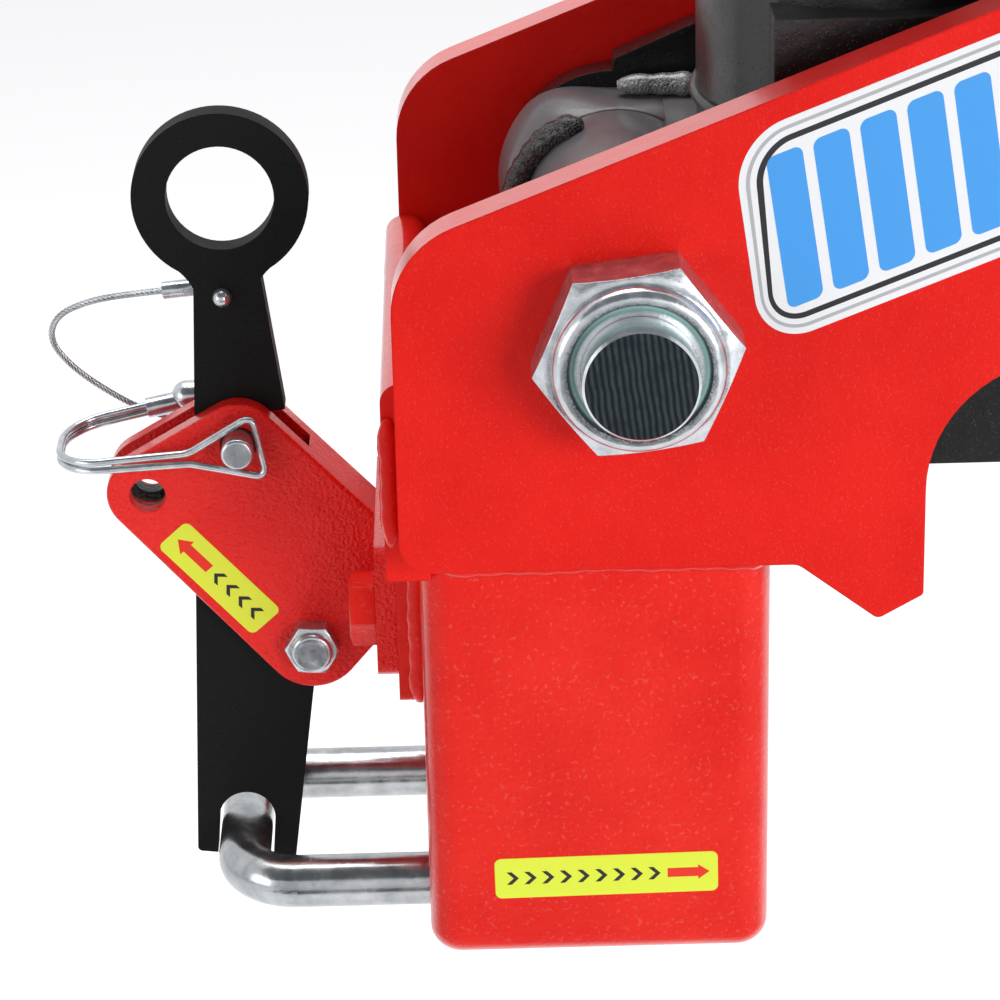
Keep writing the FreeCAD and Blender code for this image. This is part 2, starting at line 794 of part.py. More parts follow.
def stem_gussets():
    """Two packing plates between the stem and the frame plates."""
    base = deck_top_z + base_t
    solids = []
    for side in (-1, 1):
        inner = side * (stem_r - 9.0)
        outer = side * frame_in
        plate = box(stem_x - gusset_half, stem_x + gusset_half, min(inner, outer), max(inner, outer),
                    base, gusset_top_z)
        solids.append(plate.cut(rod_z(stem_x, 0, stem_foot_r, base, gusset_top_z)))
    return Part.makeCompound(solids)


def bottom_shelf():
    return box(shelf_x0, frame_foot_x1 - 8, -frame_in, frame_in, frame_foot_z, frame_foot_z + frame_t)


def spring_top_plate():
    """Plate between the raised frame arms, over the air spring."""
    plate = box(top_plate_x0, frame_rear_x - 4, -frame_in, frame_in, top_plate_z, top_plate_z + frame_t)
    low, high = top_plate_z - beyond, top_plate_z + frame_t + beyond
    holes = [rod_z(spring_x + side * stud_x, 0, stud_r + drill_gap, low, high) for side in (-1, 1)]
    return cut(plate, holes + [rod_z(spring_x, 0, inlet_r + drill_gap, low, high)])


def frame_rear_web():
    base = top_plate_z + frame_t
    x1 = frame_rear_x - arm_rim
    return box(x1 - frame_t, x1, -frame_in, frame_in, base, base + rear_web_height)


def spring_bead(z0, studs_up):
    """Crimped bead plate of the air spring, with its two studs."""
    plate = rod_z(spring_x, 0, bead_r, z0, z0 + bead_t)
    if studs_up:
        low, high = z0 + bead_t, z0 + bead_t + frame_t + stud_reach
    else:
        low, high = z0 - seat_t - stud_reach, z0
    studs = [rod_z(spring_x + side * stud_x, 0, stud_r, low, high) for side in (-1, 1)]
    return fuse([plate] + studs)


def stud_nuts(face_z, up):
    """Two nuts on the studs of a bead plate."""
    nuts = []
    for side in (-1, 1):
        x = spring_x + side * stud_x
        body = hex_head(vec(x, 0, face_z), vec(0, 0, up), stud_nut_af, stud_nut_t)
        reach = stud_nut_t + beyond
        nuts.append(body.cut(rod_z(x, 0, stud_r, face_z - reach, face_z + reach)))
    return Part.makeCompound(nuts)


def air_spring():
    """Rubber bellows with two folds, as one closed turned shape."""
    z0 = seat_top_z + bead_t + 0.3
    z1 = top_plate_z - bead_t - 0.3
    quarter = (z1 - z0) / 4
    neck = bead_r - 2
    edges = [
        Part.LineSegment(vec(0, 0, z0), vec(neck, 0, z0)).toShape(),
        Part.Arc(vec(neck, 0, z0), vec(bag_r, 0, z0 + quarter), vec(bag_waist_r, 0, z0 + 2 * quarter)).toShape(),
        Part.Arc(vec(bag_waist_r, 0, z0 + 2 * quarter), vec(bag_r, 0, z0 + 3 * quarter), vec(neck, 0, z1)).toShape(),
        Part.LineSegment(vec(neck, 0, z1), vec(0, 0, z1)).toShape(),
        Part.LineSegment(vec(0, 0, z1), vec(0, 0, z0)).toShape(),
    ]
    bag = Part.Face(Part.Wire(edges)).revolve(vec(0, 0, 0), vec(0, 0, 1), 360)
    bag.translate(vec(spring_x, 0, 0))
    return bag


def air_inlet():
    """Air fitting that passes through the top plate."""
    stub = rod_z(spring_x, 0, inlet_r, top_plate_z, top_plate_z + frame_t)
    nut = hex_head(vec(spring_x, 0, top_plate_z + frame_t), vec(0, 0, 1), 17.0, 7.0)
    valve = rod_z(spring_x, 0, 3.9, top_plate_z + frame_t + 7.0, top_plate_z + frame_t + 19.0)
    return fuse([stub, nut, valve])


def wire_parts():
    """Pin, wire and sleeve, each cut to the one that it seats in."""
    pin = lock_pin()
    wire = snap_wire()
    sleeve = wire_sleeve().cut(pin).cut(wire)
    return pin, wire.cut(pin), sleeve


def build():
    pin, wire, sleeve = wire_parts()
    block = coupler_block()
    pieces = {
        "side_plate_near": side_plate(-plate_out, -plate_in),
        "side_plate_far": side_plate(plate_in, plate_out),
        "nose_plate": nose_plate(),
        "spring_seat_plate": seat_plate(),
        "tail_plate": tail_plate(),
        "coupler_block": block,
        "mount_pad": mount_pad(),
        "lever_bracket": lever_bracket(),
        "bracket_bolts": bracket_bolts(),
        "lever_pivot_bolt": lever_bolt(),
        "lever_pivot_nut": lever_nut(),
        "lever": lever(),
        "lanyard_rivet": lanyard_rivet(),
        "lanyard_ferrule": lanyard_ferrule(),
        "lanyard": lanyard(),
        "lanyard_stop": lanyard_stop(),
        "shackle": shackle(),
        "lock_pin": pin,
        "snap_wire": wire,
        "wire_sleeve": sleeve,
        "main_pivot_bolt": main_bolt(),
        "main_pivot_nut": main_nut(),
        "main_nut_insert": nut_insert(),
        "thrust_washers": thrust_washers(),
        "pivot_barrel": pivot_barrel(),
        "pivot_bushes": pivot_bushes(),
        "frame_plate_near": frame_plate(-frame_out, -frame_in),
        "frame_plate_far": frame_plate(frame_in, frame_out),
        "deck_plate": deck_plate(),
        "stem_base": stem_base(),
        "stem_tube": stem_tube(),
        "stem_gussets": stem_gussets(),
        "bottom_shelf": bottom_shelf(),
        "spring_top_plate": spring_top_plate(),
        "frame_rear_web": frame_rear_web(),
        "spring_top_bead": spring_bead(top_plate_z - bead_t, True),
        "spring_top_nuts": stud_nuts(top_plate_z + frame_t, 1),
        "spring_bottom_bead": spring_bead(seat_top_z, False),
        "spring_bottom_nuts": stud_nuts(seat_top_z - seat_t, -1),
        "air_spring": air_spring(),
        "air_inlet": air_inlet(),
    }
    for name, shape in pieces.items():
        shape.exportStep(f"parts/{name}.step")
        print(name, len(shape.Solids), round(shape.Volume, 1), "valid" if shape.isValid() else "NOT VALID")


build()
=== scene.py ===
# Gooseneck coupler: red arm and socket block, black upper frame, zinc hardware
import bpy
import bmesh
import math
from mathutils import Matrix, Vector


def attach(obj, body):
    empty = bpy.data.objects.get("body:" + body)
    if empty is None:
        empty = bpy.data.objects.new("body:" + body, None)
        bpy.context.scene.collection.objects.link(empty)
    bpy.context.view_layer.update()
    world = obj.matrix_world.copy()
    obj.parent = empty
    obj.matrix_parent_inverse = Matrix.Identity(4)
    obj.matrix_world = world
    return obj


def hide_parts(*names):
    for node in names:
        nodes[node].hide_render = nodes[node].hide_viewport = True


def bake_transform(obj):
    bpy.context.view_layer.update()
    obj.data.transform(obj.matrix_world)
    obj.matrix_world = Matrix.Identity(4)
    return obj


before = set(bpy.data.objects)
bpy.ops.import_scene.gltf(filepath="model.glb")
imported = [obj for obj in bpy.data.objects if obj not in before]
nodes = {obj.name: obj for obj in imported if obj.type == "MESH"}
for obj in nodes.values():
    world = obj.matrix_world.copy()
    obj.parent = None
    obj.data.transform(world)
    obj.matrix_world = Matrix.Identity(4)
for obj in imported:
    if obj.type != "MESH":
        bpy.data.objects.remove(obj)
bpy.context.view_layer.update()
mm = 0.001
print("frame loaded:", len(nodes), "nodes")


def hexColour(code):
    # sRGB hex to the linear values that a socket takes
    channels = [int(code[i:i + 2], 16) / 255 for i in (1, 3, 5)]
    linear = [c / 12.92 if c <= 0.04045 else ((c + 0.055) / 1.055) ** 2.4 for c in channels]
    return (*linear, 1.0)


# Camera and light

cameraSet = {
    # fitted to the photo: place in metres, turns in degrees
    "place": (-31.1 * mm, -1065.9 * mm, 587.3 * mm),
    "lens": 139.95,
    "sensor": 36.0,
    "farClip": 20,
    "pitchDown": 23.687,
    "yaw": -0.264,
    "roll": -1.368,
}


def makeObject(bm, name, mat):
    # a finished bmesh as an object with its material
    mesh = bpy.data.meshes.new(name)
    bm.to_mesh(mesh)
    bm.free()
    thing = bpy.data.objects.new(name, mesh)
    bpy.context.collection.objects.link(thing)
    mesh.materials.append(mat)
    return thing


def addCamera():
    cam = bpy.data.objects.new("camera", bpy.data.cameras.new("camera"))
    bpy.context.collection.objects.link(cam)
    cam.data.lens = cameraSet["lens"]
    cam.data.sensor_width = cameraSet["sensor"]
    cam.data.clip_end = cameraSet["farClip"]
    turn = Matrix.Rotation(math.radians(cameraSet["yaw"]), 4, "Z")
    turn = turn @ Matrix.Rotation(math.radians(90 - cameraSet["pitchDown"]), 4, "X")
    turn = turn @ Matrix.Rotation(math.radians(cameraSet["roll"]), 4, "Z")
    cam.matrix_world = Matrix.Translation(cameraSet["place"]) @ turn
    bpy.context.scene.camera = cam


def addNode(tree, kind, settings=None, links=None):
    # one shader node with its settings, input values and links
    node = tree.nodes.new(kind)
    for name, value in (settings or {}).items():
        if isinstance(name, str) and hasattr(node, name):
            setattr(node, name, value)
        else:
            node.inputs[name].default_value = value
    for name, source in (links or {}).items():
        tree.links.new(source, node.inputs[name])
    return node


lampAim = (0.0, 0.0, 0.15)
lampSet = {
    "front": {"place": (1.05, -1.35, 0.40), "wide": 0.8, "tall": 0.8, "power": 17},
    "left": {"place": (-1.4, -1.0, 0.4), "wide": 0.9, "tall": 0.9, "power": 6},
    "top": {"place": (-0.2, 0.35, 1.8), "wide": 1.1, "tall": 1.1, "power": 17},
}
worldSet = {"ambient": "#8A8A8E", "backdrop": "#FFFFFF"}
floorSet = {"half": 6.0, "drop": 0.32, "paper": "#F6F6F6", "glow": "#FFFFFF", "glowStrength": 0.55}


def addLights():
    target = Vector(lampAim)
    for name, entry in lampSet.items():
        data = bpy.data.lights.new(name, "AREA")
        data.shape = "RECTANGLE"
        data.size = entry["wide"]
        data.size_y = entry["tall"]
        data.energy = entry["power"]
        lamp = bpy.data.objects.new(name, data)
        bpy.context.collection.objects.link(lamp)
        lamp.location = entry["place"]
        lamp.rotation_euler = (target - lamp.location).to_track_quat("-Z", "Y").to_euler()


def seenRay(tree):
    # 1 for rays that the camera, gloss or glass sees, 0 for the light on the object
    path = addNode(tree, "ShaderNodeLightPath")
    first = addNode(tree, "ShaderNodeMath", {"operation": "MAXIMUM"})
    tree.links.new(path.outputs["Is Camera Ray"], first.inputs[0])
    tree.links.new(path.outputs["Is Glossy Ray"], first.inputs[1])
    both = addNode(tree, "ShaderNodeMath", {"operation": "MAXIMUM"})
    tree.links.new(first.outputs[0], both.inputs[0])
    tree.links.new(path.outputs["Is Transmission Ray"], both.inputs[1])
    return both.outputs[0]


def addWorld():
    world = bpy.data.worlds.new("studio")
    bpy.context.scene.world = world
    world.use_nodes = True
    tree = world.node_tree
    tree.nodes.clear()
    seen = seenRay(tree)
    ambient = addNode(tree, "ShaderNodeBackground", {"Color": hexColour(worldSet["ambient"])})
    white = addNode(tree, "ShaderNodeBackground", {"Color": hexColour(worldSet["backdrop"])})
    mix = addNode(tree, "ShaderNodeMixShader")
    tree.links.new(seen, mix.inputs[0])
    tree.links.new(ambient.outputs[0], mix.inputs[1])
    tree.links.new(white.outputs[0], mix.inputs[2])
    out = addNode(tree, "ShaderNodeOutputWorld")
    tree.links.new(mix.outputs[0], out.inputs["Surface"])


cardSet = {
    # flags that only gloss sees, so that plated metal keeps its contrast: dark strips low in front,
    # and one grey sheet high up
    "shade": "#2A2C2E", "floorX": (-0.52, -0.30, -0.10, 0.08, 0.28, 0.50), "floorWide": 0.15,
    "floorY": -1.02, "floorLong": 0.95, "floorZ": -0.30,
    "highShade": "#63696C", "high": (-0.1, -0.66, 1.15), "highWide": 2.4, "highTall": 1.5,
    "highLean": 42,
}


def addCards():
    flags = [((x, cardSet["floorY"], cardSet["floorZ"]), cardSet["floorWide"], cardSet["floorLong"], 0,
              cardSet["shade"]) for x in cardSet["floorX"]]
    flags.append((cardSet["high"], cardSet["highWide"], cardSet["highTall"], cardSet["highLean"],
                  cardSet["highShade"]))
    for i, (place, wide, long, lean, shade) in enumerate(flags):
        mat = bpy.data.materials.new(f"card{i + 1}")
        mat.use_nodes = True
        mat.node_tree.nodes.clear()
        flat = addNode(mat.node_tree, "ShaderNodeEmission", {"Color": hexColour(shade)})
        out = addNode(mat.node_tree, "ShaderNodeOutputMaterial")
        mat.node_tree.links.new(flat.outputs[0], out.inputs["Surface"])
        bm = bmesh.new()
        bmesh.ops.create_grid(bm, x_segments=1, y_segments=1, size=0.5)
        bmesh.ops.scale(bm, vec=(wide, long, 1), verts=bm.verts)
        turn = Matrix.Translation(place) @ Matrix.Rotation(math.radians(lean), 4, "X")
        bmesh.ops.transform(bm, matrix=turn, verts=bm.verts)
        card = makeObject(bm, f"flag{i + 1}", mat)
        card.visible_camera = False
        card.visible_diffuse = False
        card.visible_shadow = False


def addFloor():
    # white paper that glows a little for the camera and for gloss
    mat = bpy.data.materials.new("paleFloor")
    mat.use_nodes = True
    tree = mat.node_tree
    tree.nodes.clear()
    paper = addNode(tree, "ShaderNodeBsdfDiffuse", {"Color": hexColour(floorSet["paper"])})
    glow = addNode(tree, "ShaderNodeEmission",
                   {"Color": hexColour(floorSet["glow"]), "Strength": floorSet["glowStrength"]})
    dark = addNode(tree, "ShaderNodeEmission", {"Strength": 0.0})
    seen = seenRay(tree)
    pick = addNode(tree, "ShaderNodeMixShader")
    tree.links.new(seen, pick.inputs[0])
    tree.links.new(dark.outputs[0], pick.inputs[1])
    tree.links.new(glow.outputs[0], pick.inputs[2])
    both = addNode(tree, "ShaderNodeAddShader")
    tree.links.new(paper.outputs[0], both.inputs[0])
    tree.links.new(pick.outputs[0], both.inputs[1])
    out = addNode(tree, "ShaderNodeOutputMaterial")
    tree.links.new(both.outputs[0], out.inputs["Surface"])
    bm = bmesh.new()
    bmesh.ops.create_grid(bm, x_segments=1, y_segments=1, size=floorSet["half"])
    bmesh.ops.translate(bm, vec=(0, 0, -floorSet["drop"]), verts=bm.verts)
    makeObject(bm, "floor", mat)


addCamera()
addLights()
addWorld()
addFloor()
addCards()
bpy.context.scene.view_settings.view_transform = "Standard"
print("camera and light ready")


# Materials. Each pattern's scale is written as a real size in millimetres.

def newMaterial(name):
    mat = bpy.data.materials.new(name)
    mat.use_nodes = True
    tree = mat.node_tree
    tree.nodes.clear()
    bsdf = addNode(tree, "ShaderNodeBsdfPrincipled")
    out = addNode(tree, "ShaderNodeOutputMaterial")
    tree.links.new(bsdf.outputs[0], out.inputs["Surface"])
    place = addNode(tree, "ShaderNodeTexCoord")
    return mat, tree, bsdf, place.outputs["Object"]


def noiseAt(tree, coords, size, detail=3.0, rough=0.5):
    # noise whose blotches are about size millimetres across
    settings = {"Scale": 1 / (size * mm), "Detail": detail, "Roughness": rough}
    return addNode(tree, "ShaderNodeTexNoise", settings, {"Vector": coords}).outputs["Fac"]


def rampOf(tree, fac, stops):
    # colours by value: a list of (position, hex)
    ramp = addNode(tree, "ShaderNodeValToRGB", {}, {"Fac": fac})
    points = ramp.color_ramp.elements
    points[0].position, points[0].color = stops[0][0], hexColour(stops[0][1])
    points[1].position, points[1].color = stops[-1][0], hexColour(stops[-1][1])
    for position, code in stops[1:-1]:
        points.new(position).color = hexColour(code)
    return ramp.outputs["Color"]


def valueRange(tree, fac, low, high, start=0.3, end=0.7):
    settings = {"From Min": start, "From Max": end, "To Min": low, "To Max": high}
    return addNode(tree, "ShaderNodeMapRange", settings, {"Value": fac}).outputs["Result"]


def bumpOn(tree, height, depth, strength=1.0, under=None, edge=None):
    # relief of depth millimetres, over another bump or over rounded edges
    links = {"Height": height}
    if under is not None:
        links["Normal"] = under
    elif edge is not None:
        soft = addNode(tree, "ShaderNodeBevel", {"samples": 4, "Radius": edge * mm})
        links["Normal"] = soft.outputs["Normal"]
    bump = addNode(tree, "ShaderNodeBump", {"Strength": strength, "Distance": depth * mm}, links)
    return bump.outputs["Normal"]


enamelSet = {
    # sprayed enamel: rolled plate shows faint flow, castings show an orange-peel skin; grit, flow, edge
    # and depths in millimetres
    "redPlate": {"colours": ("#E2140B", "#EC1C11"), "rough": (0.36, 0.48), "grit": 0.9, "flow": 6.0,
                 "depth": 0.06, "flowDepth": 0.12, "specks": 0.05, "edge": 1.0, "shine": 0.20,
                 "coat": 0.0, "rim": 1.0, "glint": 0.04},
    "redCast": {"colours": ("#E3190F", "#EF281A"), "rough": (0.34, 0.46), "grit": 1.7, "flow": 8.0,
                "depth": 0.34, "flowDepth": 0.5, "specks": 0.06, "edge": 1.2, "shine": 0.24,
                "coat": 0.0, "rim": 0.8, "glint": 0.10},
    # a lighter red than the block's: painted light that makes up for the shade the bracket stands in
    "redPeelLightened": {"colours": ("#EC1912", "#F5251D"), "rough": (0.30, 0.40), "grit": 1.1, "flow": 5.0,
                "depth": 0.75, "flowDepth": 0.3, "specks": 0.2, "edge": 0.8, "shine": 0.30,
                "coat": 0.0, "rim": 0.8, "glint": 0.0},
    "blackGloss": {"colours": ("#121213", "#1C1B1D"), "rough": (0.28, 0.40), "grit": 1.2, "flow": 9.0,
                   "depth": 0.06, "flowDepth": 0.3, "specks": 0.10, "edge": 1.0, "shine": 0.5,
                   "coat": 0.1, "rim": 0.1, "glint": 0.0},
    "weldBlack": {"colours": ("#0B0B0C", "#161617"), "rough": (0.06, 0.16), "grit": 0.8, "flow": 2.6,
                  "depth": 1.5, "flowDepth": 0.9, "specks": 0.6, "edge": 0.4, "shine": 0.6,
                  "coat": 0.2, "rim": 0.3, "glint": 0.2},
    # a black weld drawn grey and silver: painted sheen in its colour, with painted glints as pale dots
    "weldBlackSheen": {"colours": ("#5C5C5D", "#A2A2A3"), "rough": (0.08, 0.20), "grit": 0.9, "flow": 2.2,
                  "depth": 1.6, "flowDepth": 0.9, "specks": 0.8, "edge": 0.4, "shine": 0.9,
                  "coat": 0.8, "rim": 1.0, "glint": 0.6},
    "blackPlate": {"colours": ("#0C0C0D", "#151516"), "rough": (0.28, 0.40), "grit": 1.2, "flow": 9.0,
                   "depth": 0.06, "flowDepth": 0.3, "specks": 0.10, "edge": 1.0, "shine": 0.35,
                   "coat": 0.0, "rim": 0.7, "glint": 0.0},
    # black enamel drawn mid grey: its own black, with painted sheen of the top light mixed into the
    # colour
    "blackCastSheen": {"colours": ("#5C595B", "#6E6B6D"), "rough": (0.28, 0.38), "grit": 1.4, "flow": 10.0,
                 "depth": 0.05, "flowDepth": 0.2, "specks": 0.06, "edge": 1.0, "shine": 0.5,
                 "coat": 0.1, "rim": 0.5, "glint": 0.0},
}
# the clear top of the paint shows where the surface turns away from the eye, between these two facings
glazeSet = {"from": 0.38, "to": 0.60, "rough": 0.18, "density": 1.75}
# specks and painted glints sit where a fine noise is highest, the glints as pale dots of highlight
# colour; the colour drifts in wide blotches
speckSet = {"size": 0.8, "from": 0.64, "to": 0.72, "glintFrom": 0.62, "blotch": 6}
glintColours = {"red": "#FFA59C", "weld": "#D8D8D8"}


def fromAxis(tree, coords, x, z):
    # distance from an axis that runs along Y
    flat = addNode(tree, "ShaderNodeVectorMath", {"operation": "MULTIPLY"}, {0: coords})
    flat.inputs[1].default_value = (1, 0, 1)
    away = addNode(tree, "ShaderNodeVectorMath", {"operation": "DISTANCE"}, {0: flat.outputs[0]})
    away.inputs[1].default_value = (x * mm, 0, z * mm)
    return away.outputs["Value"]


def product(tree, first, second):
    # one value times another
    return addNode(tree, "ShaderNodeMath", {"operation": "MULTIPLY"}, {0: first, 1: second}).outputs[0]


def shaderOf(mat):
    # a material's tree, its shader and its coordinates, to add to them
    tree = mat.node_tree
    bsdf = next(node for node in tree.nodes if node.type == "BSDF_PRINCIPLED")
    coords = next(node for node in tree.nodes if node.type == "TEX_COORD").outputs["Object"]
    return tree, bsdf, coords


def tintOn(tree, bsdf, factor, code):
    # another colour over the base colour, by a factor
    mix = addNode(tree, "ShaderNodeMix", {"data_type": "RGBA"})
    tree.links.new(factor, mix.inputs["Factor"])
    tree.links.new(bsdf.inputs["Base Color"].links[0].from_socket, mix.inputs["A"])
    mix.inputs["B"].default_value = hexColour(code)
    tree.links.new(mix.outputs["Result"], bsdf.inputs["Base Color"])


def enamel(name):
    entry = enamelSet[name]
    mat, tree, bsdf, coords = newMaterial(name)
    flow = noiseAt(tree, coords, entry["flow"], 4.0)
    grit = noiseAt(tree, coords, entry["grit"], 2.5)
    spots = noiseAt(tree, coords, entry["grit"] * speckSet["size"], 1.0)
    specks = valueRange(tree, spots, 0.0, 1.0, speckSet["from"], speckSet["to"])
    colour = rampOf(tree, noiseAt(tree, coords, entry["flow"] * speckSet["blotch"], 5.0, 0.6),
                    [(0.35, entry["colours"][0]), (0.65, entry["colours"][1])])
    tree.links.new(colour, bsdf.inputs["Base Color"])
    # painted glints: pale dots of highlight colour tinted over the paint on the raised specks
    if entry["glint"]:
        dots = valueRange(tree, spots, 0.0, entry["glint"], speckSet["glintFrom"], speckSet["to"])
        tintOn(tree, bsdf, dots, glintColours["weld" if name.startswith("weld") else "red"])
    low, high = entry["rough"]
    tree.links.new(valueRange(tree, flow, low, high), bsdf.inputs["Roughness"])
    soft = bumpOn(tree, flow, entry["flowDepth"], edge=entry["edge"])
    peel = bumpOn(tree, grit, entry["depth"], under=soft)
    tree.links.new(bumpOn(tree, specks, entry["specks"], under=peel), bsdf.inputs["Normal"])
    bsdf.inputs["Specular IOR Level"].default_value = entry["shine"]
    facing = addNode(tree, "ShaderNodeLayerWeight", {"Blend": 0.5}).outputs["Facing"]
    glaze = valueRange(tree, facing, entry["coat"], entry["rim"], glazeSet["from"], glazeSet["to"])
    tree.links.new(glaze, bsdf.inputs["Coat Weight"])
    bsdf.inputs["Coat Roughness"].default_value = glazeSet["rough"]
    bsdf.inputs["Coat IOR"].default_value = glazeSet["density"]
    return mat


holeShadeSet = {
    # the lock hole's painted shade: its axis, how far from it the shaded wall counts, how far from the
    # middle the shade begins on the near side, and where the far cheek's outer face begins, outside the
    # shade
    "x": -130.46, "z": 128.65, "core": 8.1, "radius": 9.0, "shade": "#0A0708", "skin": 5.5,
    "fade": 0.8, "farFace": (9.6, 10.2),
}


def bracketPaint():
    # the same enamel, with painted shade deep inside the lock hole and its clear coat taken off round
    # the hole
    mat = enamel("redPeelLightened")
    tree, bsdf, coords = shaderOf(mat)
    away = fromAxis(tree, coords, holeShadeSet["x"], holeShadeSet["z"])
    near = valueRange(tree, away, 1, 0, holeShadeSet["core"] * mm, holeShadeSet["radius"] * mm)
    across = addNode(tree, "ShaderNodeSeparateXYZ", {}, {"Vector": coords}).outputs["Y"]
    skin = -holeShadeSet["skin"] * mm
    deep = valueRange(tree, across, 0, 1, skin - holeShadeSet["fade"] * mm, skin)
    farStart, farEnd = holeShadeSet["farFace"]
    inside = product(tree, deep, valueRange(tree, across, 1, 0, farStart * mm, farEnd * mm))
    # painted shade: the hole's deep inside, near its axis, drawn near black
    tintOn(tree, bsdf, product(tree, near, inside), holeShadeSet["shade"])
    clear = addNode(tree, "ShaderNodeMath", {"operation": "SUBTRACT", 0: 1.0}, {1: near}).outputs[0]
    glaze = bsdf.inputs["Coat Weight"].links[0].from_socket
    tree.links.new(product(tree, glaze, clear), bsdf.inputs["Coat Weight"])
    return mat


powderSet = {
    "colours": [(0.35, "#0F1010"), (0.62, "#151616"), (0.74, "#252726")], "grit": 0.55, "cloud": 12.0,
    "rough": (0.50, 0.62), "depth": 0.10, "edge": 0.5, "shine": 0.12,
}


def powderCoat():
    # matt textured powder coat: fine wrinkle that breaks up the light into specks
    mat, tree, bsdf, coords = newMaterial("blackPowder")
    grit = noiseAt(tree, coords, powderSet["grit"], 3.0, 0.65)
    cloud = noiseAt(tree, coords, powderSet["cloud"])
    low, high = powderSet["rough"]
    tree.links.new(rampOf(tree, grit, powderSet["colours"]), bsdf.inputs["Base Color"])
    tree.links.new(valueRange(tree, cloud, low, high), bsdf.inputs["Roughness"])
    tree.links.new(bumpOn(tree, grit, powderSet["depth"], edge=powderSet["edge"]), bsdf.inputs["Normal"])
    bsdf.inputs["Specular IOR Level"].default_value = powderSet["shine"]
    return mat


zincSet = {
    # plated and bare metals: slightly cloudy, with a fine grain
    "zincBright": {"colours": ("#A9AFB5", "#D3D7DA"), "cloud": 5.0, "rough": (0.14, 0.28), "edge": 0.35,
                   "metal": 0.85},
    "zincBar": {"colours": ("#969B9E", "#C4C7C9"), "cloud": 8.0, "rough": (0.15, 0.28), "edge": 0.4,
                "metal": 0.95},
    "bearingBronze": {"colours": ("#8E6637", "#B98B50"), "cloud": 5.0, "rough": (0.30, 0.42),
                      "edge": 0.3, "metal": 1.0},
    "turnedBrass": {"colours": ("#B8943E", "#D9B862"), "cloud": 5.0, "rough": (0.20, 0.30),
                    "edge": 0.3, "metal": 1.0},
}


def platedMetal(name):
    entry = zincSet[name]
    mat, tree, bsdf, coords = newMaterial(name)
    cloud = noiseAt(tree, coords, entry["cloud"], 4.0, 0.6)
    fine = noiseAt(tree, coords, 0.6, 3.0)
    tree.links.new(rampOf(tree, cloud, [(0.3, entry["colours"][0]), (0.7, entry["colours"][1])]),
                   bsdf.inputs["Base Color"])
    low, high = entry["rough"]
    tree.links.new(valueRange(tree, cloud, low, high), bsdf.inputs["Roughness"])
    soft = bumpOn(tree, cloud, 0.10, edge=entry["edge"])
    tree.links.new(bumpOn(tree, fine, 0.012, under=soft), bsdf.inputs["Normal"])
    bsdf.inputs["Metallic"].default_value = entry["metal"]
    return mat


# the big pivot: its axis, its barrel's radius, and how far from the middle the frame plates begin
pivot = {"x": 11.5, "z": 201.0, "barrel": 27.0, "wallY": 58.0}
crimpSet = {"from": 18.9, "to": 20.9, "shade": "#2E373E"}


def crimpedZinc():
    # bright zinc whose rim was pressed over the insert, which left a dark torn ring
    mat = platedMetal("zincBright")
    mat.name = "zincCrimped"
    tree, bsdf, coords = shaderOf(mat)
    away = fromAxis(tree, coords, pivot["x"], pivot["z"])
    place = valueRange(tree, away, 0, 1, crimpSet["from"] * mm, crimpSet["to"] * mm)
    ring = rampOf(tree, place, [(0.0, "#FFFFFF"), (0.45, "#E0E0E0"), (1.0, "#000000")])
    torn = valueRange(tree, noiseAt(tree, coords, 0.7, 3.0), 0.35, 1.0, 0.42, 0.56)
    tintOn(tree, bsdf, product(tree, ring, torn), crimpSet["shade"])
    return mat


sawSet = {
    # saw marks: pitch in mm, lean in degrees, and the shades between and on the ridges
    "pitch": 1.8, "lean": 6.8, "waver": 3.4, "dark": "#22262F", "light": "#424C4B", "face": 0.9,
}


def sawnBolt():
    # a zinc bolt whose near end is sawn: a dark face with upright saw marks
    mat, tree, bsdf, coords = newMaterial("sawnBolt")
    cloud = noiseAt(tree, coords, 6.0, 4.0, 0.6)
    zinc = rampOf(tree, cloud, [(0.3, "#BFC5CB"), (0.7, "#E2E5E8")])
    lean = addNode(tree, "ShaderNodeMapping", {"Rotation": (0, math.radians(sawSet["lean"]), 0)},
                   {"Vector": coords})
    strokes = {"wave_type": "BANDS", "bands_direction": "X", "Distortion": sawSet["waver"],
               "Scale": math.pi / (10 * sawSet["pitch"] * mm), "Detail": 3.0, "Detail Scale": 0.5}
    wave = addNode(tree, "ShaderNodeTexWave", strokes, {"Vector": lean.outputs[0]}).outputs["Fac"]
    marks = product(tree, wave, noiseAt(tree, coords, 4.0, 4.0, 0.6))
    sawn = rampOf(tree, marks, [(0.05, sawSet["dark"]), (0.55, sawSet["light"])])
    geometry = addNode(tree, "ShaderNodeNewGeometry")
    side = addNode(tree, "ShaderNodeSeparateXYZ", {}, {"Vector": geometry.outputs["Normal"]})
    end = addNode(tree, "ShaderNodeMath", {"operation": "LESS_THAN", 1: -sawSet["face"]},
                  {0: side.outputs["Y"]}).outputs[0]
    mix = addNode(tree, "ShaderNodeMix", {"data_type": "RGBA"})
    tree.links.new(end, mix.inputs["Factor"])
    tree.links.new(zinc, mix.inputs["A"])
    tree.links.new(sawn, mix.inputs["B"])
    tree.links.new(mix.outputs["Result"], bsdf.inputs["Base Color"])
    tree.links.new(valueRange(tree, end, 0.24, 0.42, 0.0, 1.0), bsdf.inputs["Roughness"])
    tree.links.new(bumpOn(tree, marks, 0.05, strength=0.5), bsdf.inputs["Normal"])
    bsdf.inputs["Metallic"].default_value = 0.9
    return mat


softSet = {
    # moulded washers are faintly waxy; bellows rubber is dull with a faint bloom
    "washerPlastic": {"colours": ("#161616", "#232323"), "grain": 1.0, "depth": 0.03, "rough": 0.5},
    "bellowsRubber": {"colours": ("#141414", "#242424"), "grain": 1.4, "depth": 0.10, "rough": 0.62},
}


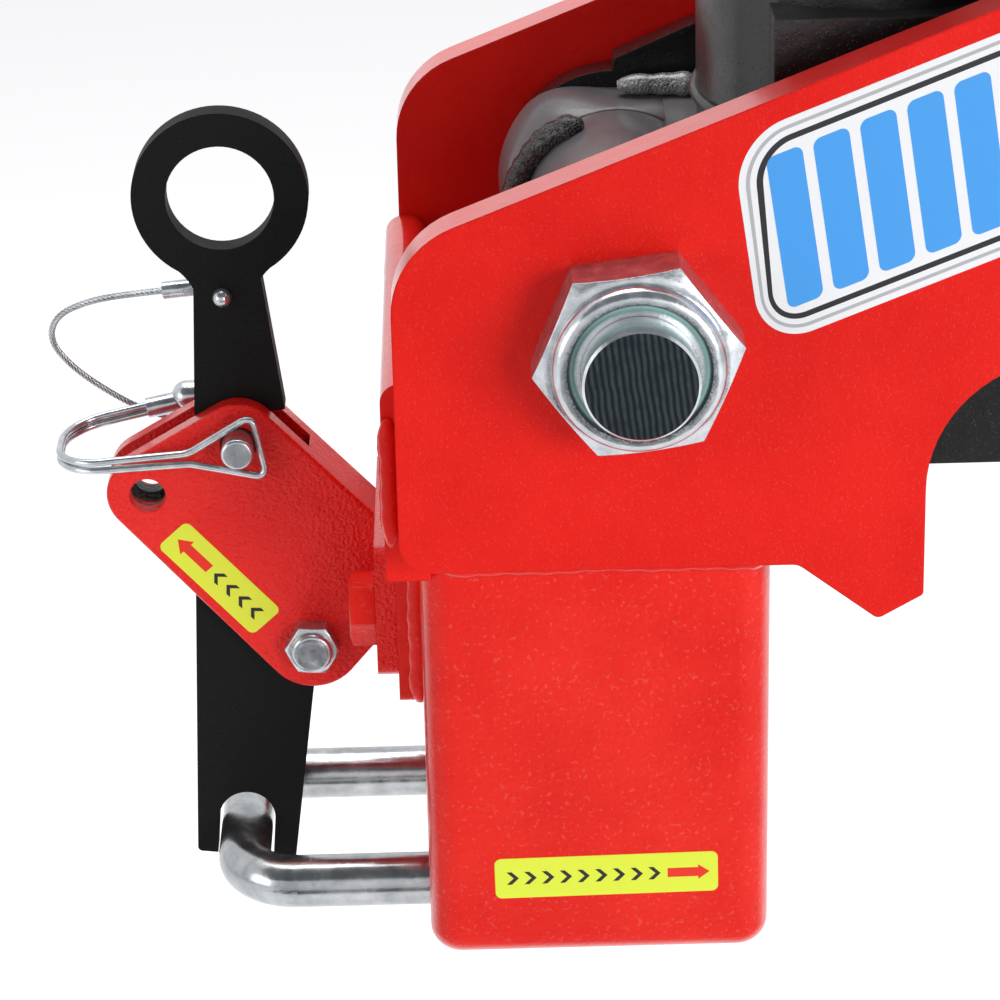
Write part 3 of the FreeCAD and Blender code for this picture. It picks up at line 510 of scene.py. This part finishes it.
def softMaterial(name):
    entry = softSet[name]
    mat, tree, bsdf, coords = newMaterial(name)
    grain = noiseAt(tree, coords, entry["grain"], 3.0)
    colour = rampOf(tree, noiseAt(tree, coords, entry["grain"] * 8),
                    [(0.35, entry["colours"][0]), (0.65, entry["colours"][1])])
    tree.links.new(colour, bsdf.inputs["Base Color"])
    tree.links.new(bumpOn(tree, grain, entry["depth"], edge=0.4), bsdf.inputs["Normal"])
    bsdf.inputs["Roughness"].default_value = entry["rough"]
    return mat


insertSet = {
    # from the throat to the rim of the nut's ring: where each colour lies between the two radii
    "inner": 15.2, "outer": 19.2,
    "colours": [(0.0, "#BFC5C8"), (0.40, "#DDE1E3"), (0.58, "#A8B8B6"), (0.64, "#6F9690"),
                (0.84, "#93BDB5"), (0.97, "#46585A")],
}


def nutInsert():
    # pale green nylon ring with a bright bare throat inside it
    mat, tree, bsdf, coords = newMaterial("nutInsert")
    away = fromAxis(tree, coords, pivot["x"], pivot["z"])
    place = valueRange(tree, away, 0, 1, insertSet["inner"] * mm, insertSet["outer"] * mm)
    cloud = noiseAt(tree, coords, 3.0)
    tree.links.new(rampOf(tree, place, insertSet["colours"]), bsdf.inputs["Base Color"])
    tree.links.new(valueRange(tree, place, 0.9, 0.0, 0.54, 0.66), bsdf.inputs["Metallic"])
    tree.links.new(valueRange(tree, cloud, 0.18, 0.30), bsdf.inputs["Roughness"])
    tree.links.new(bumpOn(tree, cloud, 0.04, edge=0.4), bsdf.inputs["Normal"])
    return mat


inkSet = {
    # printed vinyl film: ink colour and the weight of its clear coat
    "labelYellow": ("#E8F53C", 0.2),
    "labelRed": ("#F0290D", 0.1),
    "labelBlack": ("#15131A", 0.2),
    "decalWhite": ("#F2F3F5", 0.3),
    "decalGrey": ("#B4B6B9", 0.3),
    "decalBlue": ("#3F9FEE", 0.3),
}


filmSurface = {"flow": 3.0, "depth": 0.02, "rough": 0.4, "coatRough": 0.2}


def labelFilm(name):
    # flat ink under a thin clear coat, with a slight flow in the gloss
    code, coat = inkSet[name]
    mat, tree, bsdf, coords = newMaterial(name)
    flow = noiseAt(tree, coords, filmSurface["flow"])
    tree.links.new(bumpOn(tree, flow, filmSurface["depth"]), bsdf.inputs["Normal"])
    bsdf.inputs["Base Color"].default_value = hexColour(code)
    bsdf.inputs["Roughness"].default_value = filmSurface["rough"]
    bsdf.inputs["Coat Weight"].default_value = coat
    bsdf.inputs["Coat Roughness"].default_value = filmSurface["coatRough"]
    return mat


materials = {name: enamel(name) for name in enamelSet if name != "redPeelLightened"}
materials.update({name: platedMetal(name) for name in zincSet})
materials.update({name: softMaterial(name) for name in softSet})
materials.update({name: labelFilm(name) for name in inkSet})
materials["blackPowder"] = powderCoat()
materials["sawnBolt"] = sawnBolt()
materials["redBracket"] = bracketPaint()
materials["zincCrimped"] = crimpedZinc()
materials["nutInsert"] = nutInsert()

finishes = {
    "redPlate": ["side_plate_near", "side_plate_far", "nose_plate", "spring_seat_plate", "tail_plate"],
    "redCast": ["coupler_block", "mount_pad", "bracket_bolts"],
    "redBracket": ["lever_bracket"],
    "blackPowder": ["lever"],
    "blackCastSheen": ["pivot_barrel", "deck_plate"],
    "blackPlate": ["frame_plate_near", "frame_plate_far"],
    "blackGloss": ["stem_base", "stem_tube", "stem_gussets", "bottom_shelf",
                   "spring_top_plate", "frame_rear_web"],
    "zincBright": ["lever_pivot_bolt", "lever_pivot_nut", "lanyard_rivet", "lanyard_ferrule",
                   "lanyard_stop", "lock_pin", "snap_wire", "wire_sleeve", "main_pivot_nut",
                   "spring_top_bead", "spring_top_nuts", "spring_bottom_bead", "spring_bottom_nuts"],
    "zincBar": ["shackle", "lanyard"],
    "sawnBolt": ["main_pivot_bolt"],
    "nutInsert": ["main_nut_insert"],
    "washerPlastic": ["thrust_washers"],
    "bearingBronze": ["pivot_bushes"],
    "turnedBrass": ["air_inlet"],
    "bellowsRubber": ["air_spring"],
}
for finish, names in finishes.items():
    for name in names:
        node = nodes[name]
        node.data.materials.clear()
        node.data.materials.append(materials[finish])
print("materials on", sum(len(names) for names in finishes.values()), "nodes")


# Pieces

def addPiece(bm, name, finish, body):
    # a finished bmesh as a piece on its CAD body
    piece = makeObject(bm, name, materials[finish])
    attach(piece, body)
    return piece


cornerSteps = 16


def flatShape(points, thickness, place, corner=0.0):
    # a film or plate: an outline in millimetres, corners rounded, given its thickness and put in place
    bm = bmesh.new()
    bm.faces.new([bm.verts.new((x * mm, y * mm, 0)) for x, y in points])
    if corner:
        bmesh.ops.bevel(bm, geom=list(bm.verts), offset=corner * mm, segments=cornerSteps,
                        profile=0.5, affect="VERTICES", material=-1)
    bmesh.ops.recalc_face_normals(bm, faces=bm.faces[:])
    raised = bmesh.ops.extrude_face_region(bm, geom=bm.faces[:])
    top = [v for v in raised["geom"] if isinstance(v, bmesh.types.BMVert)]
    bmesh.ops.translate(bm, vec=(0, 0, thickness * mm), verts=top)
    bmesh.ops.recalc_face_normals(bm, faces=bm.faces[:])
    bmesh.ops.transform(bm, matrix=place, verts=bm.verts)
    return bm


def nearFace(x, y, z, turn=0.0, lean=0.0):
    # places a flat shape on a face that looks to the near side: its x along +X, its y up
    place = Matrix.Translation((x * mm, y * mm, z * mm))
    place = place @ Matrix.Rotation(math.radians(90 + lean), 4, "X")
    return place @ Matrix.Rotation(math.radians(turn), 4, "Z")


labelSet = {
    # middle of each label, its size, its turn, and its arrow: middle, length, shaft and head
    "block": {"x": 2.1, "z": 28.0, "long": 65.4, "tall": 13.4, "turn": 0.8, "corner": 2.0,
              "arrow": (24.1, 12.3, 3.0, 4.9), "flip": 1, "chevrons": 9},
    "bracket": {"x": -110.5, "z": 101.2, "long": 40.2, "tall": 12.1, "turn": -48.1, "corner": 2.0,
                "arrow": (-11.0, 13.3, 3.1, 5.8), "flip": -1, "chevrons": 4},
}
filmSet = {
    # film and print in millimetres; the arrow's head is this part of its width long
    "thick": 0.12, "print": 0.05, "headLength": 0.68, "chevronGap": 4.6, "chevronStep": 5.2,
    "chevronHalf": 2.1, "chevronStroke": 1.5,
}


def arrowPoints(middle, length, shaft, head, flip):
    # a block arrow along the label, centred on middle
    tail, tip = middle - flip * length / 2, middle + flip * length / 2
    neck = tip - flip * head * filmSet["headLength"]
    return [(tail, -shaft / 2), (neck, -shaft / 2), (neck, -head / 2), (tip, 0),
            (neck, head / 2), (neck, shaft / 2), (tail, shaft / 2)]


def chevronPoints(middle, flip):
    # one chevron that points the same way as the arrow
    size, stroke = filmSet["chevronHalf"], filmSet["chevronStroke"]
    return [(middle - flip * size / 2, -size), (middle + flip * (stroke - size / 2), -size),
            (middle + flip * (stroke + size / 2), 0), (middle + flip * (stroke - size / 2), size),
            (middle - flip * size / 2, size), (middle + flip * size / 2, 0)]


def addLabel(name, y, lean):
    # yellow film with a red block arrow and a row of plain chevrons
    entry = labelSet[name]
    half, rise = entry["long"] / 2, entry["tall"] / 2
    place = nearFace(entry["x"], y, entry["z"], entry["turn"], lean)
    film = flatShape([(-half, -rise), (half, -rise), (half, rise), (-half, rise)],
                     filmSet["thick"], place, entry["corner"])
    addPiece(film, name + "Label", "labelYellow", "coupler_arm")
    above = place @ Matrix.Translation((0, 0, filmSet["thick"] * mm))
    middle, length, shaft, head = entry["arrow"]
    arrow = flatShape(arrowPoints(middle, length, shaft, head, entry["flip"]), filmSet["print"], above)
    addPiece(arrow, name + "Arrow", "labelRed", "coupler_arm")
    for i in range(entry["chevrons"]):
        back = length / 2 + filmSet["chevronGap"] + i * filmSet["chevronStep"]
        chevron = chevronPoints(middle - entry["flip"] * back, entry["flip"])
        mark = flatShape(chevron, filmSet["print"], above)
        addPiece(mark, f"{name}Chevron{i + 1}", "labelBlack", "coupler_arm")


# the block's near face leans out from its foot to its shoulder; the bracket's cheek is upright
blockFace = {"shoulderY": -69.85, "footY": -65.5, "shoulderZ": 130.0}
cheekY = -10.7
slope = (blockFace["footY"] - blockFace["shoulderY"]) / blockFace["shoulderZ"]
addLabel("block", blockFace["footY"] - slope * labelSet["block"]["z"], math.degrees(math.atan(slope)))
addLabel("bracket", cheekY, 0.0)
print("labels placed")


# Decal on the near arm plate: a white panel with keylines and plain slanted bars

decalSet = {
    # the panel's middle, slope and size, how far in its keylines lie, and its bars
    "x": 103.8, "z": 253.0, "faceY": -82.55, "slope": 21.5, "long": 134.0, "tall": 59.0, "lean": 7.0,
    "corner": 15.0, "grey": 1.8, "greyLine": 1.0, "black": 4.4, "blackLine": 1.6,
    "bars": 9, "barTall": 42.4, "barWide": 10.3, "barStep": 13.3, "barLean": 4.9, "barCorner": 2.4,
    "film": 0.12, "layer": 0.03,
}


def leaned(half, rise, slip):
    # a box whose top is pushed to the right by twice the slip
    return [(-half - slip, -rise), (half - slip, -rise), (half + slip, rise), (-half + slip, rise)]


def addDecal():
    place = nearFace(decalSet["x"], decalSet["faceY"], decalSet["z"], decalSet["slope"])
    layers = [
        ("decalPanel", "decalWhite", 0.0, 0),
        ("decalGreyLine", "decalGrey", decalSet["grey"], 1),
        ("decalInnerWhite", "decalWhite", decalSet["grey"] + decalSet["greyLine"], 2),
        ("decalBlackLine", "labelBlack", decalSet["black"], 3),
        ("decalField", "decalWhite", decalSet["black"] + decalSet["blackLine"], 4),
    ]
    for name, finish, inset, step in layers:
        half = decalSet["long"] / 2 - inset
        rise = decalSet["tall"] / 2 - inset
        lift = place @ Matrix.Translation((0, 0, step * decalSet["layer"] * mm))
        panel = flatShape(leaned(half, rise, decalSet["lean"]), decalSet["film"], lift,
                          decalSet["corner"] - inset)
        addPiece(panel, name, finish, "coupler_arm")
    first = -(decalSet["bars"] - 1) / 2
    for i in range(decalSet["bars"]):
        middle = (first + i) * decalSet["barStep"]
        lift = place @ Matrix.Translation((middle * mm, 0, len(layers) * decalSet["layer"] * mm))
        outline = leaned(decalSet["barWide"] / 2, decalSet["barTall"] / 2, decalSet["barLean"])
        bar = flatShape(outline, decalSet["film"], lift, decalSet["barCorner"])
        addPiece(bar, f"decalBar{i + 1}", "decalBlue", "coupler_arm")


addDecal()
print("decal placed")


# Weld beads: a row of overlapping ripples along a path

beadShape = {
    # parts of the bead's radius: its middle size, ripples, wander, and how its ends taper
    "size": 0.9, "ripple": 0.05, "wander": 0.10, "tip": 0.35, "taper": 0.22, "sides": 12,
}


def smoothNoise(step, seed):
    # a small repeatable wobble from -1 to 1
    return math.sin(step * 1.7 + seed) * 0.5 + math.sin(step * 0.73 + seed * 2.1) * 0.5


def skinRings(bm, rings, closed=False):
    # a skin over circles that lie one after the other, with its ends filled
    loops = [list(dict.fromkeys(edge for vert in ring for edge in vert.link_edges)) for ring in rings]
    following = loops[1:] + loops[:1] if closed else loops[1:]
    for first, second in zip(loops, following):
        bmesh.ops.bridge_loops(bm, edges=first + second)
    if not closed:
        bmesh.ops.holes_fill(bm, edges=loops[0] + loops[-1], sides=0)
    bmesh.ops.recalc_face_normals(bm, faces=bm.faces[:])
    for face in bm.faces:
        face.smooth = True


def beadAlong(points, radius, ripple, seed, closed=False):
    # a bead as rings that swell and shrink along the path; points in millimetres
    path = [Vector(p) * mm for p in points]
    runs = [(path[i], path[(i + 1) % len(path)]) for i in range(len(path) if closed else len(path) - 1)]
    stations = []
    travelled = 0.0
    for start, end in runs:
        count = max(1, round((end - start).length / (ripple * mm / 4)))
        for i in range(count):
            stations.append((start.lerp(end, i / count), travelled + (end - start).length * i / count))
        travelled += (end - start).length
    if not closed:
        stations.append((path[-1], travelled))
    bm = bmesh.new()
    rings = []
    for i, (spot, distance) in enumerate(stations):
        ahead = stations[(i + 1) % len(stations)][0] if closed or i + 1 < len(stations) else spot
        back = stations[i - 1][0] if closed or i > 0 else spot
        along = (ahead - back).normalized()
        wave = distance / (ripple * mm)
        swell = beadShape["size"] + beadShape["ripple"] * math.sin(2 * math.pi * wave)
        swell += beadShape["wander"] * smoothNoise(wave, seed)
        if not closed:
            end = min(i, len(stations) - 1 - i)
            swell *= min(1.0, beadShape["tip"] + beadShape["taper"] * end)
        turn = along.to_track_quat("Z", "Y").to_matrix().to_4x4()
        ring = bmesh.ops.create_circle(bm, segments=beadShape["sides"], radius=radius * swell * mm,
                                       matrix=Matrix.Translation(spot) @ turn)
        rings.append(ring["verts"])
    skinRings(bm, rings, closed)
    return bm


def ringPoints(centre, radius, count):
    # points of a level ring
    turns = [2 * math.pi * i / count for i in range(count)]
    return [(centre[0] + radius * math.cos(turn), centre[1] + radius * math.sin(turn), centre[2])
            for turn in turns]


# the stem: its axis, the radius of its foot, and the tops of the deck and of the base round it
stem = {"x": 84.3, "radius": 51.6, "deckZ": 229.0, "padTop": 246.0}

collarSet = {
    # a smooth painted fillet between the barrel and each frame plate, as distances from the middle and
    # from the barrel's axis; and where, how wide and by which part of its height it lies lower
    "profile": [(57.9, 27.1), (57.9, 35.6), (54.0, 35.3), (50.0, 34.4), (46.5, 33.0), (43.5, 31.2),
                (41.0, 29.2), (39.5, 27.1)],
    "segments": 96,
    "lowAt": 90, "lowSpread": 50, "lowBy": 0.85,
}
nutSet = {
    # nuts as they were tightened: their axis, and the turn of their corners in degrees
    "mainNut": {"node": "main_pivot_nut", "x": pivot["x"], "z": pivot["z"], "turn": -14.3,
                "finish": "zincCrimped"},
    "leverNut": {"node": "lever_pivot_nut", "x": -83.6, "z": 79.1, "turn": 11.0,
                 "finish": "zincBright"},
}
sharpAngle = math.radians(25)


def smoothFaces(bm):
    # smooth shading that keeps the corners sharp
    for face in bm.faces:
        face.smooth = True
    for edge in bm.edges:
        edge.smooth = edge.is_manifold and edge.calc_face_angle(0) < sharpAngle


def lowerCollarTop(bm):
    # the fillet lies lower over the top of the barrel than round its front
    for vert in bm.verts:
        across = vert.co.x - pivot["x"] * mm
        up = vert.co.z - pivot["z"] * mm
        out = math.hypot(across, up)
        away = abs(math.degrees(math.atan2(up, across)) - collarSet["lowAt"]) / collarSet["lowSpread"]
        if away < 1 and out > pivot["barrel"] * mm:
            dip = collarSet["lowBy"] * (1 + math.cos(math.pi * away)) / 2
            scale = 1 - dip * (out - pivot["barrel"] * mm) / out
            vert.co.x = pivot["x"] * mm + across * scale
            vert.co.z = pivot["z"] * mm + up * scale


def addCollars():
    for side, word in ((-1, "Near"), (1, "Far")):
        bm = bmesh.new()
        verts = [bm.verts.new((pivot["x"] * mm, side * y * mm, (pivot["z"] + r) * mm))
                 for y, r in collarSet["profile"]]
        edges = [bm.edges.new(pair) for pair in zip(verts, verts[1:] + verts[:1])]
        middle = (pivot["x"] * mm, 0, pivot["z"] * mm)
        bmesh.ops.spin(bm, geom=verts + edges, cent=middle, axis=(0, 1, 0), angle=2 * math.pi,
                       steps=collarSet["segments"], use_merge=True)
        bmesh.ops.remove_doubles(bm, verts=bm.verts, dist=1e-6)
        lowerCollarTop(bm)
        bmesh.ops.recalc_face_normals(bm, faces=bm.faces[:])
        smoothFaces(bm)
        addPiece(bm, "barrelCollar" + word, "blackCastSheen", "upper_frame")


def addTurnedNuts():
    # the CAD nuts, turned on their bolts
    for name, entry in nutSet.items():
        bm = bmesh.new()
        bm.from_mesh(nodes[entry["node"]].data)
        bmesh.ops.remove_doubles(bm, verts=bm.verts, dist=1e-6)
        turn = Matrix.Rotation(math.radians(entry["turn"]), 3, "Y")
        bmesh.ops.rotate(bm, cent=(entry["x"] * mm, 0, entry["z"] * mm), matrix=turn, verts=bm.verts)
        smoothFaces(bm)
        nut = addPiece(bm, name, entry["finish"], "coupler_arm")
        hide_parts(entry["node"])


beadSet = {
    # weld beads, made on both sides: from and to as (x, distance from the middle, z)
    "noseBead": {"from": (-57.4, 70.2, 137), "to": (-57.4, 70.2, 176), "radius": 3.0, "ripple": 7.0,
                 "finish": "redPlate"},
    "blockBead": {"from": (-46, 70.6, 131.6), "to": (50, 70.6, 131.6), "radius": 4.4, "ripple": 7.5,
                  "finish": "redPlate"},
    "padBead": {"from": (-51.2, 45.4, 76), "to": (-51.2, 45.4, 124), "radius": 3.6, "ripple": 6.5,
                "finish": "redCast"},
}
footBead = {"ends": [(-51.0, -43, 75.2), (-51.0, 43, 75.2)], "radius": 3.2, "ripple": 6.5}
frameBeadSet = {
    # the barrel's weld runs round its front, and leaves the collar towards its upper end
    "weldStart": 112, "weldLeave": 190, "weldEnd": 262, "weldY": (29, 43), "weldOut": (1.6, 3.6),
    "weldRadius": 4.6, "weldRipple": 5.0, "weldPoints": 34,
    # the deck's weld along each frame plate, and the seam between the plate and the collar
    "deckFrom": 40, "deckTo": 132, "deckRadius": 3.6, "deckRipple": 6.5, "inset": 1.0, "lift": 0.4,
    "seamFrom": (12, 50, 232.6), "seamTo": (38, 50, 232.4), "seamRadius": 3.9, "seamRipple": 6.0,
    # the smooth bead round the foot of the stem
    "stemRadius": 1.8, "stemRipple": 60.0, "stemOut": 0.4, "stemLift": 0.6, "stemPoints": 60,
}


def addBeads():
    for seed, (name, entry) in enumerate(beadSet.items()):
        for side, word in ((-1, "Near"), (1, "Far")):
            ends = [(x, side * y, z) for x, y, z in (entry["from"], entry["to"])]
            addPiece(beadAlong(ends, entry["radius"], entry["ripple"], seed + side), name + word,
                     entry["finish"], "coupler_arm")
    foot = beadAlong(footBead["ends"], footBead["radius"], footBead["ripple"], 5)
    addPiece(foot, "padBeadFoot", "redCast", "coupler_arm")


def barrelWeld(side):
    # a path round the barrel, which leaves the collar for the barrel towards its upper end
    entry = frameBeadSet
    topY, collarY = entry["weldY"]
    topOut, collarOut = entry["weldOut"]
    last = entry["weldPoints"] - 1
    points = []
    for i in range(entry["weldPoints"]):
        turn = entry["weldEnd"] + (entry["weldStart"] - entry["weldEnd"]) * i / last
        left = (turn - entry["weldStart"]) / (entry["weldLeave"] - entry["weldStart"])
        left = min(1.0, max(0.0, left))
        out = pivot["barrel"] + topOut + (collarOut - topOut) * left
        x = pivot["x"] + out * math.cos(math.radians(turn))
        z = pivot["z"] + out * math.sin(math.radians(turn))
        points.append((x, side * (topY + (collarY - topY) * left), z))
    return points


def addFrameBeads():
    entry = frameBeadSet
    deckZ = stem["deckZ"] + entry["lift"]
    for side, word in ((-1, "Near"), (1, "Far")):
        weld = beadAlong(barrelWeld(side), entry["weldRadius"], entry["weldRipple"], side + 3)
        addPiece(weld, "barrelBead" + word, "weldBlack", "upper_frame")
        y = side * (pivot["wallY"] - entry["inset"])
        deckEnds = [(entry["deckFrom"], y, deckZ), (entry["deckTo"], y, deckZ)]
        deck = beadAlong(deckEnds, entry["deckRadius"], entry["deckRipple"], side + 5)
        addPiece(deck, "deckBead" + word, "weldBlack", "upper_frame")
        seamEnds = [(x, side * y, z) for x, y, z in (entry["seamFrom"], entry["seamTo"])]
        seam = beadAlong(seamEnds, entry["seamRadius"], entry["seamRipple"], side + 7)
        addPiece(seam, "seamBead" + word, "weldBlackSheen", "upper_frame")
    centre = (stem["x"], 0, stem["padTop"] + entry["stemLift"])
    ring = ringPoints(centre, stem["radius"] + entry["stemOut"], entry["stemPoints"])
    foot = beadAlong(ring, entry["stemRadius"], entry["stemRipple"], 9, True)
    addPiece(foot, "stemBead", "blackGloss", "upper_frame")


addBeads()
addFrameBeads()
print("weld beads placed")
addCollars()
addTurnedNuts()
print("collars and nuts placed")


# Lanyard: six strands laid round a straight one, along the smooth line of the rope

ropeSet = {"strandRadius": 0.33, "layRadius": 0.66, "layLength": 9.0, "strands": 6, "sides": 6,
           "step": 0.5, "diameter": 0.002, "length": 0.0925}
ropeRoute = [(-123.6, 7.2, 186.6), (-134.5, 8.4, 185.2), (-146.0, 11.0, 182.6), (-156.5, 14.4, 177.0),
             (-159.5, 17.4, 168.0), (-153.8, 20.4, 158.2), (-144.6, 23.6, 149.2), (-134.6, 26.4, 141.6),
             (-125.0, 27.4, 137.4)]


def smoothLine(route):
    # points along the NURBS line of a route given in millimetres, as Blender draws it
    curve = bpy.data.curves.new("ropeLine", "CURVE")
    curve.dimensions = "3D"
    curve.resolution_u = 24
    spline = curve.splines.new("NURBS")
    spline.points.add(len(route) - 1)
    for point, spot in zip(spline.points, route):
        point.co = (*(Vector(spot) * mm), 1.0)
    spline.order_u = 3
    spline.use_endpoint_u = True
    holder = bpy.data.objects.new("ropeLine", curve)
    bpy.context.collection.objects.link(holder)
    mesh = bpy.data.meshes.new_from_object(holder)
    line = [v.co.copy() for v in mesh.vertices]
    bpy.data.objects.remove(holder)
    return line


def evenSteps(line, step):
    # the same line in steps of equal length
    spots = [line[0].copy()]
    left = step
    for start, end in zip(line, line[1:]):
        run = (end - start).length
        done = 0.0
        while run - done >= left:
            done += left
            spots.append(start.lerp(end, done / run))
            left = step
        left -= run - done
    return spots


def addRope():
    line = evenSteps(smoothLine(ropeRoute), ropeSet["step"] * mm)
    bm = bmesh.new()
    frames = []
    normal = Vector((0, 0, 1))
    for i, spot in enumerate(line):
        along = (line[min(i + 1, len(line) - 1)] - line[max(i - 1, 0)]).normalized()
        normal = (normal - along * normal.dot(along)).normalized()
        frames.append((spot, along, normal, along.cross(normal)))
    for strand in range(ropeSet["strands"] + 1):
        lay = 0.0 if strand == ropeSet["strands"] else ropeSet["layRadius"] * mm
        rings = []
        for i, (spot, along, normal, binormal) in enumerate(frames):
            turns = i * ropeSet["step"] / ropeSet["layLength"] + strand / ropeSet["strands"]
            turn = 2 * math.pi * turns
            middle = spot + (normal * math.cos(turn) + binormal * math.sin(turn)) * lay
            facing = Matrix((normal, binormal, along)).transposed().to_4x4()
            ring = bmesh.ops.create_circle(bm, segments=ropeSet["sides"],
                                           radius=ropeSet["strandRadius"] * mm,
                                           matrix=Matrix.Translation(middle) @ facing)
            rings.append(ring["verts"])
        skinRings(bm, rings)
    rope = addPiece(bm, "lanyardRope", "zincBar", "lever")
    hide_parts("lanyard")
    print("rope length", round(sum((b - a).length for a, b in zip(line, line[1:])), 5))


addRope()


# Air spring: two rubber folds with a waist between them

bagSet = {
    # radii and heights in millimetres; margin is the plain end that keeps to each bead plate
    "x": 235.0, "low": 275.8, "high": 353.7, "neck": 44.0, "belly": 55.0, "waist": 47.0,
    "margin": 4, "arcSteps": 12, "segments": 96,
}


def bagProfile():
    low, high, steps = bagSet["low"], bagSet["high"], bagSet["arcSteps"]
    fold = (high - low) / 2
    mouth = bagSet["neck"] - bagSet["margin"]
    profile = [(0.0, low), (mouth, low)]
    for part in range(2):
        for i in range(steps + 1):
            angle = math.pi * i / steps
            inner = bagSet["neck"] if (part == 0) == (i < steps / 2) else bagSet["waist"]
            out = inner + (bagSet["belly"] - inner) * math.sin(angle)
            profile.append((out, low + part * fold + fold * (1 - math.cos(angle)) / 2))
    return profile + [(mouth, high), (0.0, high)]


def addBag():
    bm = bmesh.new()
    verts = [bm.verts.new((r * mm, 0, z * mm)) for r, z in bagProfile()]
    edges = [bm.edges.new(pair) for pair in zip(verts, verts[1:])]
    bmesh.ops.spin(bm, geom=verts + edges, cent=(0, 0, 0), axis=(0, 0, 1), angle=2 * math.pi,
                   steps=bagSet["segments"], use_merge=True)
    bmesh.ops.remove_doubles(bm, verts=bm.verts, dist=1e-6)
    bmesh.ops.translate(bm, vec=(bagSet["x"] * mm, 0, 0), verts=bm.verts)
    bmesh.ops.recalc_face_normals(bm, faces=bm.faces[:])
    for face in bm.faces:
        face.smooth = True
    bag = makeObject(bm, "airSpringBag", materials["bellowsRubber"])
    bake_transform(bag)
    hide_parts("air_spring")


addBag()
print("air spring placed")
